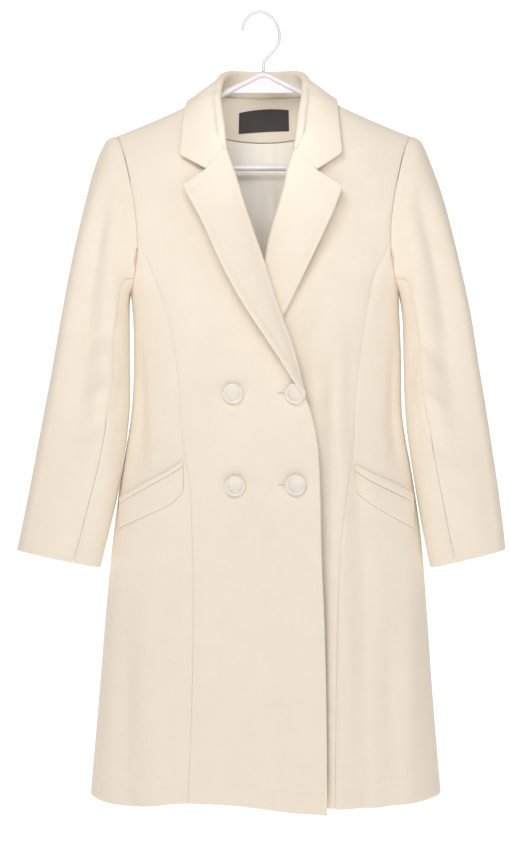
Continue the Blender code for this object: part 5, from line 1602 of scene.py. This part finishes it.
@dataclass
class NeckInside(Cloth):
    """What shows inside the neck: the facing of the back, the label and the pleated lining."""

    step: float = 3.0
    facing_cloth: float = 2.5
    lining_cloth: float = 1.0
    label_cloth: float = 1.0
    facing_half: float = 62.0
    facing_centre: float = 173.0
    facing_side: float = 166.0
    facing_top: float = 111.5
    facing_gap: float = 1.6
    label_gap: float = 0.6
    label_centre: Span = (0.7, 141.7)
    label_size: Span = (73.5, 31.5)
    label_skew: float = -0.055
    label_bend: Span = (8.0, -9.6)
    lining_gap: float = 2.2
    lining_foot: float = 1048.0
    inset: float = 0.12
    row_step: float = 4.0
    shoulder_drop: float = 12.0
    rise: float = 1.5
    beside: float = 10.0
    pleat_x: float = 5.0
    pleat_width: float = 7.0
    pleat_depth: float = 3.0
    pleat_fades: float = 2.5
    facing_height: float = 57.0
    facing_sink: float = 0.6
    facing_reach: float = 1.6
    label_step: float = 2.0
    label_wave: float = 0.35
    lining_step: float = 5.0
    lining_hem: float = 14.0
    lining_rows: float = 24.0
    facing_cut: Flat = Flat(0.13, 0.062, 0.0078)
    label_cut: Flat = Flat(0.0735, 0.0315, 0.0022)
    lining_cut: Flat = Flat(0.52, 0.93, 0.37)
    tops: Curve = line_of(
        (0, 116), (1, 128), (2, 142), (3, 160), (4, 184), (5, 216), (6, 262), (7, 304), (8, 344), (9, 374),
        (10, 392),
    )
    wrinkles: tuple[Crease, ...] = every(
        Crease,
        (-34, 186, -30, 262, 5, -1.1, 0.3), (-22, 176, -19, 280, 4, 0.8, -0.3),
        (-46, 180, -20, 250, 6, 0.8, 0.3), (24, 178, 20, 270, 5, -0.9, 0.2),
        (38, 176, 26, 250, 6, 1.0, -0.3), (14, 190, 16, 320, 5, 0.8, 0.3),
        (-60, 420, -40, 700, 16, -2.0, 0.3), (50, 380, 62, 760, 18, -2.2, -0.3),
    )

    def facing_foot(self, x: Array) -> Array:
        """Drop of the facing's lower seam."""
        return mix(self.facing_centre, self.facing_side, np.minimum(1.0, np.abs(x) / self.facing_half) ** 2)

    def facing(self, finish: Finish) -> Piece:
        """The wool facing under the collar seam."""
        share = fine_steps(self.facing_height, self.step, True, True)[:, None]
        across = fine_steps(2 * self.facing_half, self.step, True, True)
        x = mix(-self.facing_half, self.facing_half, across)[None, :]
        drop = mix(self.facing_top, self.facing_foot(x), share)
        sink = self.facing_sink * np.exp(-((x / self.facing_reach) ** 2))
        lift = DRAPE.back(x, drop) - COAT_CLOTH - self.facing_gap - sink
        outer, inner = on_form(x + 0 * drop, drop, False, lift, self.facing_cloth)
        shell = Shell("neck_facing", outer, inner, Border.PLAIN, Border.FREE, Border.PLAIN, Border.PLAIN)
        return self.dress(shell.build(), "neck_facing", finish, "wool", self.facing_cut, ("back", "collar"))

    def label(self, finish: Finish) -> Piece:
        """The bare woven label."""
        v = (fine_steps(self.label_size[1], self.label_step, True, True) - 0.5)[:, None]
        u = (fine_steps(self.label_size[0], self.label_step, True, True) - 0.5)[None, :]
        x = self.label_centre[0] + self.label_size[0] * u + 0 * v
        bend = (self.label_bend[0] + self.label_bend[1] * v) * u * u
        drop = self.label_centre[1] + self.label_size[1] * v + self.label_skew * self.label_size[0] * u + bend
        lift = DRAPE.back(x, drop) - COAT_CLOTH - self.facing_gap - self.facing_cloth - self.label_gap
        lift = lift - self.label_wave * np.sin(math.pi * (u + 0.5)) * np.sin(2 * math.pi * (v + 0.5))
        outer, inner = on_form(x, drop, False, lift, self.label_cloth)
        shell = Shell("label", outer, inner, Border.FREE, Border.FREE, Border.FREE, Border.FREE)
        return self.dress(shell.build(), "label", finish, "label_weave", self.label_cut, ("neck_facing",))

    def lining(self, finish: Finish) -> Piece:
        """The satin lining of the back with its pleat."""
        grid = BackGrid(self.lining_step, self.tops, self.lining_foot, self.inset, self.lining_hem)
        side, drop, angle = grid.places()
        x = FORM.x_of(side, drop, angle)
        beyond = np.maximum(0.0, np.abs(x) - self.facing_half - self.beside)
        foot = self.facing_foot(x) - self.rise * beyond
        shoulder = FORM.ridge_drop(x, False) + self.shoulder_drop
        row = np.linspace(0, self.lining_rows, drop.shape[0])[:, None]
        drop = np.maximum(drop, np.maximum(foot + 1.0, shoulder) + self.row_step * row)
        pleat = ease(x, self.pleat_x - self.pleat_width, self.pleat_x)
        pleat = pleat - ease(x, self.pleat_x, self.pleat_x + self.pleat_fades * self.pleat_width)
        lift = DRAPE.back(x, drop) - COAT_CLOTH - self.lining_gap - self.pleat_depth * pleat
        lift = lift - np.abs(DRAPE.crease_height(self.wrinkles, x, drop))
        outer, inner = on_form(side, drop, False, lift, self.lining_cloth, angle)
        shell = Shell("back_lining", outer, inner, Border.PLAIN, Border.FREE, Border.PLAIN, Border.PLAIN)
        carriers = ("back", "neck_facing")
        return self.dress(shell.build(), "back_lining", finish, "satin", self.lining_cut, carriers)


class ButtonPlace(NamedTuple):
    """Where a button lies and how far it stands off the front."""

    name: str
    x: float
    drop: float
    lift: float
    turn: float


@dataclass
class Buttons:
    """The four dished buttons."""

    radius: float = 14.1
    height: float = 5.2
    sides: int = 72
    profile_points: int = 46
    dish: float = 0.34
    places: tuple[ButtonPlace, ...] = every(
        ButtonPlace,
        ("button_upper_right", -41, 527, 0.7, 20), ("button_lower_right", -38.5, 651.5, 1.2, 65),
        ("button_upper_left", 42, 527, 0.5, 40), ("button_lower_left", 42.5, 650, 1.2, 5),
    )
    outline: Curve = Curve(
        (0, 1, 2, 3, 4, 5, 6, 7, 8, 9),
        (
            (0.0, 0.0), (0.6, 0.0), (0.9, 0.14), (0.995, 0.45), (0.97, 0.8),
            (0.87, 1.0), (0.74, 0.93), (0.63, 0.6), (0.45, 0.4), (0.0, 0.34),
        ),
    )

    def build(self, finish: Finish) -> list[Piece]:
        """The buttons."""
        made = []
        for place in self.places:
            point, out = FORM.surface(place.x, place.drop, True)
            centre = point + out * (float(DRAPE.right(np.array(place.x), np.array(place.drop))) + place.lift)
            frame = Vector((0, 0, 1)).rotation_difference(Vector(out)).to_matrix()
            steps = np.linspace(0, self.outline.keys[-1], self.profile_points)
            profile = self.outline(steps)[1:-1] * (self.radius, self.height)
            turn = np.linspace(0, 2 * math.pi, self.sides, endpoint=False)
            wide, high = profile[:, :1], profile[:, 1:]
            ring = np.stack((wide * np.cos(turn), wide * np.sin(turn), high + 0 * turn[None, :]), axis=-1)
            ends = np.array(((0, 0, 0), (0, 0, self.height * self.dish)))
            local = np.concatenate((ring.reshape(-1, 3), ends))
            points = (centre + local @ np.array(frame).T) * MM
            rows, sides = len(profile), self.sides
            faces = tube_faces(rows, sides, capped=False)
            for k in range(sides):
                n = (k + 1) % sides
                faces.append((rows * sides, n, k))
                faces.append((rows * sides + 1, (rows - 1) * sides + k, (rows - 1) * sides + n))
            piece = mesh_object(f"{place.name}_turned", points, faces)
            piece.data.materials.append(finish)
            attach(piece, "root")
            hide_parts(place.name)
            made.append(piece)
        return made


@dataclass
class Buttonholes:
    """The stitched ends of the two buttonholes that show beside their buttons."""

    marks: tuple[Span, ...] = ((26.6, 526.8), (27.6, 650.4))
    length: float = 8.0
    stitch: float = 1.3
    count: int = 12
    thread: float = 0.42
    sides: int = 6
    lip: float = 0.15
    lift: float = 0.3
    sections: tuple[Span, ...] = ((0.0, 0.3), (0.25, 1.0), (0.75, 1.0), (1.0, 0.3))

    def build(self, finish: Finish) -> Piece:
        """One piece with every stitch, each a short thread across the slit's lip."""
        points, faces = [], []
        for end_x, drop in self.marks:
            for k in range(self.count):
                x = end_x - self.length * k / (self.count - 1)
                for way in (-1, 1):
                    ends = [self.on_front(x, drop + way * d) for d in (self.lip, self.stitch)]
                    self.thread_between(points, faces, *ends)
        piece = mesh_object("buttonhole_stitches", np.array(points) * MM, faces)
        piece.data.materials.append(finish)
        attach(piece, "root")
        LOG.info("%s: %d faces", piece.name, len(piece.data.polygons))
        return piece

    def on_front(self, x: float, drop: float) -> Array:
        """A point on the outer face of the overlapping front."""
        point, out = FORM.surface(x, drop, True)
        return point + out * (float(DRAPE.right(np.array(x), np.array(drop))) + self.thread * self.lift)

    def thread_between(self, points: list, faces: list, start: Array, stop: Array) -> None:
        """Adds one closed thread between two points, thinner at its ends."""
        along = unit(stop - start)
        across = unit(np.cross(along, np.array((0.0, 1.0, 0.0))))
        rise = np.cross(along, across)
        first = len(points)
        for share, size in self.sections:
            for turn in np.linspace(0, 2 * math.pi, self.sides, endpoint=False):
                around = across * math.cos(turn) + rise * math.sin(turn)
                points.append(mix(start, stop, share) + around * self.thread / 2 * size)
        faces += tube_faces(len(self.sections), self.sides, first)


@dataclass
class Hook:
    """The hanger's coated wire hook."""

    wire: float = 2.25
    sides: int = 24
    points: int = 150
    tip_square: float = 0.02
    path: tuple[Span, ...] = (
        (0, -80.2), (0, -69.5), (1.6, -65.5), (10.5, -55), (18, -47), (21.3, -38.5), (21.9, -30), (19.7, -19),
        (13.8, -8), (4.6, -0.9), (-4.6, 2.25), (-14.7, -0.2), (-22.3, -5.9), (-27.3, -14), (-29, -24),
    )

    def build(self, finish: Finish) -> Piece:
        """The hook, with a rounded tip."""
        line = Curve(range(len(self.path)), self.path)(np.linspace(0, len(self.path) - 1, self.points))
        centre = np.stack((line[:, 0], 0 * line[:, 0], line[:, 1]), axis=-1)
        along = unit(np.gradient(centre, axis=0))
        level = np.array((0.0, 1.0, 0.0))
        rise = np.cross(along, level)
        left = np.linalg.norm(centre - centre[-1], axis=-1)
        inside = 1 - np.minimum(1, left / self.wire)
        size = self.wire * np.sqrt(np.clip(1 - inside**2, self.tip_square, 1))
        turn = np.linspace(0, 2 * math.pi, self.sides, endpoint=False)
        around = level * np.cos(turn)[None, :, None] + rise[:, None] * np.sin(turn)[None, :, None]
        points = (centre[:, None] + around * size[:, None, None]).reshape(-1, 3) * MM
        piece = mesh_object("hanger_hook_wire", points, tube_faces(len(centre), self.sides))
        piece.data.materials.append(finish)
        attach(piece, "root")
        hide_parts("hanger_hook")
        return piece


class Socket:
    """A node's output, with arithmetic that adds Math nodes to its tree."""

    def __init__(self, tree: bpy.types.NodeTree, output: bpy.types.NodeSocket) -> None:
        """Wraps one output."""
        self.tree = tree
        self.output = output

    def _math(self, operation: str, first: "Socket | float", second: "Socket | float" = 0.0) -> "Socket":
        """A Math node on two values."""
        node = self.tree.nodes.new("ShaderNodeMath")
        node.operation = operation
        for place, value in enumerate((first, second)):
            if isinstance(value, Socket):
                self.tree.links.new(value.output, node.inputs[place])
            else:
                node.inputs[place].default_value = value
        return Socket(self.tree, node.outputs[0])

    def __add__(self, other: "Socket | float") -> "Socket":
        """The sum."""
        return self._math("ADD", self, other)

    def __radd__(self, other: float) -> "Socket":
        """The sum with a number first."""
        return self._math("ADD", other, self)

    def __sub__(self, other: "Socket | float") -> "Socket":
        """The difference."""
        return self._math("SUBTRACT", self, other)

    def __rsub__(self, other: float) -> "Socket":
        """The difference with a number first."""
        return self._math("SUBTRACT", other, self)

    def __mul__(self, other: "Socket | float") -> "Socket":
        """The product."""
        return self._math("MULTIPLY", self, other)

    def __rmul__(self, other: float) -> "Socket":
        """The product with a number first."""
        return self._math("MULTIPLY", other, self)

    def sine(self) -> "Socket":
        """The sine."""
        return self._math("SINE", self)

    def clamped(self) -> "Socket":
        """The value held between 0 and 1."""
        return self._math("MINIMUM", self._math("MAXIMUM", self, 0.0), 1.0)


Colour = Triple


def linear(red: int, green: int, blue: int) -> Colour:
    """Scene-linear colour from display values of 0 to 255."""
    parts = []
    for value in (red, green, blue):
        share = value / 255
        parts.append(share / 12.92 if share <= 0.04045 else ((share + 0.055) / 1.055) ** 2.4)
    return parts[0], parts[1], parts[2]


class Grain(NamedTuple):
    """A noise: its features a metre, its detail and how far it is drawn out along each axis."""

    scale: float
    detail: float
    stretch: Triple = (1.0, 1.0, 1.0)


class Relief(NamedTuple):
    """A bump's distance in metres and its strength."""

    distance: float
    strength: float


class Paint:
    """Builds the nodes of one material round its main shader."""

    def __init__(self, name: str) -> None:
        """Starts a new material."""
        self.material = bpy.data.materials.new(name)
        self.material.use_nodes = True
        self.tree = self.material.node_tree
        self.shader = self.tree.nodes["Principled BSDF"]
        self.place = self.node("ShaderNodeTexCoord", output="Object")

    def node(
        self,
        kind: str,
        settings: dict[str, object] | None = None,
        inputs: dict[str | int, object] | None = None,
        output: str | int = 0,
    ) -> Socket:
        """Adds any node.

        Args:
            kind: the node's type.
            settings: its properties, set first.
            inputs: its input sockets by name or number, each a value or a Socket.
            output: the output to return.

        Returns:
            The chosen output.
        """
        made = self.tree.nodes.new(kind)
        for key, value in (settings or {}).items():
            setattr(made, key, value)
        for key, value in (inputs or {}).items():
            if isinstance(value, Socket):
                self.tree.links.new(value.output, made.inputs[key])
            else:
                made.inputs[key].default_value = value
        return Socket(self.tree, made.outputs[output])

    def noise(self, grain: Grain) -> Socket:
        """Noise of this grain, drawn out along an axis where its stretch is below 1."""
        stretched = {0: self.place, 1: grain.stretch}
        where = self.node("ShaderNodeVectorMath", {"operation": "MULTIPLY"}, stretched)
        inputs = {"Vector": where, "Scale": grain.scale, "Detail": grain.detail}
        return self.node("ShaderNodeTexNoise", {}, inputs, "Fac")

    def blend(self, share: Socket, first: Colour | Socket, second: Colour | Socket) -> Socket:
        """A colour between two."""
        ends = [(*c, 1.0) if isinstance(c, tuple) else c for c in (first, second)]
        inputs = {"Factor": share, 6: ends[0], 7: ends[1]}
        return self.node("ShaderNodeMix", {"data_type": "RGBA"}, inputs, 2)

    def bump(self, height: Socket, relief: Relief, under: Socket | None = None) -> Socket:
        """A bumped normal, on top of another where one is given."""
        inputs: dict[str | int, object] = {
            "Height": height, "Distance": relief.distance, "Strength": relief.strength
        }
        if under is not None:
            inputs["Normal"] = under
        return self.node("ShaderNodeBump", {}, inputs)

    def fix(self, **values: float | tuple) -> None:
        """Sets constants on the main shader, by socket name with _ for a space."""
        for key, value in values.items():
            self.shader.inputs[key.replace("_", " ")].default_value = value

    def feed(self, name: str, value: Socket) -> None:
        """Links a value into the main shader."""
        self.tree.links.new(value.output, self.shader.inputs[name])


@dataclass(frozen=True)
class Wool:
    """Fulled wool coating: a soft felted face with a little sheen."""

    name: str = "wool_cloth"
    pale: Colour = linear(248, 239, 226)
    warm: Colour = linear(241, 229, 212)
    clouds: Grain = Grain(38.0, 3.0)
    warp: Grain = Grain(1500.0, 3.0, (1.0, 1.0, 0.35))
    weft: Grain = Grain(1300.0, 3.0, (0.35, 0.35, 1.0))
    naps: Grain = Grain(420.0, 4.0, (1.0, 1.0, 0.6))
    cloud_share: float = 0.55
    nap_share: float = 0.25
    fibre_share: float = 0.35
    least: float = 0.2
    rough: Span = (0.84, 0.12)
    nap_relief: Relief = Relief(0.0006, 0.5)
    weave_relief: Relief = Relief(0.00022, 0.55)
    sheen: float = 0.35
    sheen_rough: float = 0.5
    sheen_tint: tuple[float, ...] = (1.0, 0.96, 0.9, 1.0)
    specular: float = 0.2

    def make(self) -> Finish:
        """The finished material."""
        paint = Paint(self.name)
        cloud = paint.noise(self.clouds)
        fibre = paint.noise(self.warp)
        cross = paint.noise(self.weft)
        nap = paint.noise(self.naps)
        share = self.cloud_share * cloud + self.nap_share * nap + self.fibre_share * (fibre - 0.5)
        paint.feed("Base Color", paint.blend((share + self.least).clamped(), self.pale, self.warm))
        paint.feed("Roughness", (self.rough[0] + self.rough[1] * nap).clamped())
        soft = paint.bump(nap, self.nap_relief)
        paint.feed("Normal", paint.bump(fibre + cross, self.weave_relief, soft))
        paint.fix(Sheen_Weight=self.sheen, Sheen_Roughness=self.sheen_rough, Sheen_Tint=self.sheen_tint)
        paint.fix(Specular_IOR_Level=self.specular)
        return paint.material


@dataclass(frozen=True)
class Satin:
    """Lining satin, smooth and a little glossy."""

    name: str = "lining_satin"
    pale: Colour = linear(254, 250, 242)
    warm: Colour = linear(250, 241, 226)
    threads: Grain = Grain(2600.0, 2.0, (1.0, 1.0, 0.06))
    clouds: Grain = Grain(30.0, 2.0)
    cloud_share: float = 0.7
    rough: Span = (0.3, 0.16)
    relief: Relief = Relief(0.0001, 0.4)
    specular: float = 0.55
    sheen: float = 0.15

    def make(self) -> Finish:
        """The finished material."""
        paint = Paint(self.name)
        thread = paint.noise(self.threads)
        cloud = paint.noise(self.clouds)
        share = (self.cloud_share * cloud + (1 - self.cloud_share) * thread).clamped()
        paint.feed("Base Color", paint.blend(share, self.pale, self.warm))
        paint.feed("Roughness", (self.rough[0] + self.rough[1] * thread).clamped())
        paint.feed("Normal", paint.bump(thread, self.relief))
        paint.fix(Specular_IOR_Level=self.specular, Sheen_Weight=self.sheen)
        return paint.material


@dataclass(frozen=True)
class LabelWeave:
    """The label's dark woven face."""

    name: str = "label_cloth"
    dark: Colour = linear(52, 49, 48)
    light: Colour = linear(78, 74, 71)
    warp_turns: float = 9000.0
    weft_turns: float = 11000.0
    grains: Grain = Grain(800.0, 2.0)
    rough: Span = (0.6, 0.25)
    relief: Relief = Relief(0.0002, 0.7)

    def make(self) -> Finish:
        """The finished material."""
        paint = Paint(self.name)
        warp, weft = (
            (paint.node("ShaderNodeSeparateXYZ", {}, {0: paint.place}, axis) * turns).sine()
            for axis, turns in (("X", self.warp_turns), ("Z", self.weft_turns))
        )
        weave = 0.5 + 0.25 * (warp + weft)
        grain = paint.noise(self.grains)
        paint.feed("Base Color", paint.blend((0.5 * weave + 0.5 * grain).clamped(), self.dark, self.light))
        paint.feed("Roughness", (self.rough[0] + self.rough[1] * grain).clamped())
        paint.feed("Normal", paint.bump(weave, self.relief))
        return paint.material


@dataclass(frozen=True)
class Moulded:
    """A moulded or coated plastic."""

    name: str
    pale: Colour
    deep: Colour
    rough: float
    coat: float = 0.0
    coat_rough: float = 0.2
    clouds: Grain = Grain(90.0, 3.0)
    grains: Grain = Grain(1200.0, 2.0)
    rough_swing: float = 0.12
    relief: Relief = Relief(0.00004, 0.3)

    def make(self) -> Finish:
        """The finished material."""
        paint = Paint(self.name)
        cloud = paint.noise(self.clouds)
        grain = paint.noise(self.grains)
        paint.feed("Base Color", paint.blend(cloud, self.pale, self.deep))
        paint.feed("Roughness", (self.rough + self.rough_swing * (grain - 0.5)).clamped())
        paint.feed("Normal", paint.bump(grain, self.relief))
        paint.fix(Coat_Weight=self.coat, Coat_Roughness=self.coat_rough)
        return paint.material


PEARL = Moulded("button_pearl", linear(246, 240, 231), linear(236, 227, 215), 0.28, 0.4)
THREAD = Moulded("buttonhole_thread", linear(226, 208, 180), linear(212, 190, 158), 0.6)
HOOK_COATING = Moulded("hook_coating_white", linear(236, 232, 236), linear(222, 218, 224), 0.3, 0.2)
HANGER_PLASTIC = Moulded("hanger_plastic_white", linear(238, 234, 237), linear(228, 224, 229), 0.35)


class Lamp(NamedTuple):
    """A soft square light: its place, what it is aimed at, size, power and colour."""

    name: str
    place: Triple
    target: Triple
    size: float
    power: float
    colour: Colour


@dataclass
class Studio:
    """The pale sweep behind the coat, the soft lights and the camera."""

    distance: float = 2.8
    camera_x: float = -0.0118
    camera_z: float = -0.569
    lens: float = 85.75
    sensor: float = 36.0
    floor_z: float = -1.32
    floor_front: Span = (-6.0, -2.0)
    wall_y: float = 4.6
    wall_top: float = 4.0
    half_width: float = 6.0
    bend: float = 0.7
    bend_steps: int = 25
    paper: tuple[Colour, Colour] = (linear(250, 249, 248), linear(253, 253, 252))
    paper_tone: Grain = Grain(3.0, 2.0)
    paper_rough: float = 0.9
    paper_specular: float = 0.1
    paper_glow: float = 0.66
    air: tuple[float, float, float, float] = (1.0, 0.94, 0.86, 1.0)
    air_strength: float = 0.21
    snoot_place: Triple = (0.0, -0.9, -0.06)
    snoot_target: Triple = (0.0, 0.03, -0.19)
    snoot_angle: float = 14.0
    snoot_size: float = 0.08
    snoot_power: float = 9.5
    lamps: tuple[Lamp, ...] = (
        Lamp("key", (-0.85, -1.9, 1.15), (0.0, 0.0, -0.4), 0.9, 20.5, (1.0, 0.99, 0.975)),
        Lamp("fill", (1.6, -1.8, 0.0), (0.0, 0.0, -0.6), 1.0, 5.5, (1.0, 0.99, 0.98)),
        Lamp("neck", (0.0, -0.95, 0.08), (0.0, 0.03, -0.15), 0.3, 1.9, (1.0, 0.99, 0.97)),
        Lamp("top", (0.0, 0.2, 1.6), (0.0, 0.0, -0.4), 1.4, 6.0, (1.0, 1.0, 1.0)),
    )

    def sweep(self) -> None:
        """A floor that bends up into a backdrop."""
        profile = [(y, self.floor_z) for y in self.floor_front]
        for turn in np.linspace(0, math.pi / 2, self.bend_steps):
            y = self.wall_y - self.bend * (1 - math.sin(turn))
            profile.append((y, self.floor_z + self.bend * (1 - math.cos(turn))))
        profile.append((self.wall_y, self.wall_top))
        points = [(x, y, z) for y, z in profile for x in (-self.half_width, self.half_width)]
        faces = [(2 * k, 2 * k + 1, 2 * k + 3, 2 * k + 2) for k in range(len(profile) - 1)]
        piece = mesh_object("studio_sweep", np.array(points), faces)
        paint = Paint("studio_paper")
        paint.feed("Base Color", paint.blend(paint.noise(self.paper_tone), *self.paper))
        paint.fix(Roughness=self.paper_rough, Specular_IOR_Level=self.paper_specular)
        paint.fix(Emission_Color=(1.0, 1.0, 1.0, 1.0), Emission_Strength=self.paper_glow)
        piece.data.materials.append(paint.material)

    def hang(self, data: bpy.types.Light, place: Sequence[float], target: Sequence[float]) -> None:
        """Puts a light at a place, aimed at its target."""
        lamp = bpy.data.objects.new(data.name, data)
        lamp.location = place
        lamp.rotation_euler = (Vector(target) - Vector(place)).to_track_quat("-Z", "Y").to_euler()
        bpy.context.scene.collection.objects.link(lamp)

    def snoot(self) -> None:
        """The narrow soft-edged light that reaches into the neck."""
        data = bpy.data.lights.new("neck_snoot", "SPOT")
        data.spot_size = math.radians(self.snoot_angle)
        data.spot_blend = 1.0
        data.shadow_soft_size = self.snoot_size
        data.energy = self.snoot_power
        self.hang(data, self.snoot_place, self.snoot_target)

    def light(self, lamp: Lamp) -> None:
        """One soft square light."""
        data = bpy.data.lights.new(lamp.name, "AREA")
        data.shape = "SQUARE"
        data.size = lamp.size
        data.energy = lamp.power
        data.color = lamp.colour
        self.hang(data, lamp.place, lamp.target)

    def camera(self) -> None:
        """The camera, level with the coat's middle."""
        data = bpy.data.cameras.new("photo_camera")
        data.lens = self.lens
        data.sensor_width = self.sensor
        camera = bpy.data.objects.new("photo_camera", data)
        camera.location = (self.camera_x, -self.distance, self.camera_z)
        camera.rotation_euler = (math.pi / 2, 0.0, 0.0)
        bpy.context.scene.collection.objects.link(camera)
        bpy.context.scene.camera = camera

    def build(self) -> None:
        """Everything round the coat."""
        self.sweep()
        self.snoot()
        for lamp in self.lamps:
            self.light(lamp)
        world = bpy.data.worlds.new("studio_air")
        world.use_nodes = True
        inputs = world.node_tree.nodes["Background"].inputs
        inputs["Color"].default_value = self.air
        inputs["Strength"].default_value = self.air_strength
        bpy.context.scene.world = world
        self.camera()
        bpy.context.scene.view_settings.view_transform = "Standard"


def main() -> None:
    """Builds and dresses the whole coat."""
    logging.basicConfig(level=logging.INFO, format="%(name)s %(message)s")
    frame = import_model()
    wool = Wool().make()
    satin = Satin().make()
    lapels = Lapels()
    Fronts().build(wool)
    SideFronts().build(wool)
    Back().build(wool)
    lapels.build(wool)
    Collar(lapels=lapels).build(wool)
    Sleeves().build(wool)
    Pockets().build(wool)
    inside = NeckInside()
    inside.facing(wool)
    inside.label(LabelWeave().make())
    inside.lining(satin)
    Buttons().build(PEARL.make())
    Buttonholes().build(THREAD.make())
    Hook().build(HOOK_COATING.make())
    plastic = HANGER_PLASTIC.make()
    for place in frame["nodes"]["hanger_body"].material_slots:
        place.material = plastic
    Studio().build()


if __name__ == "__main__":
    main()
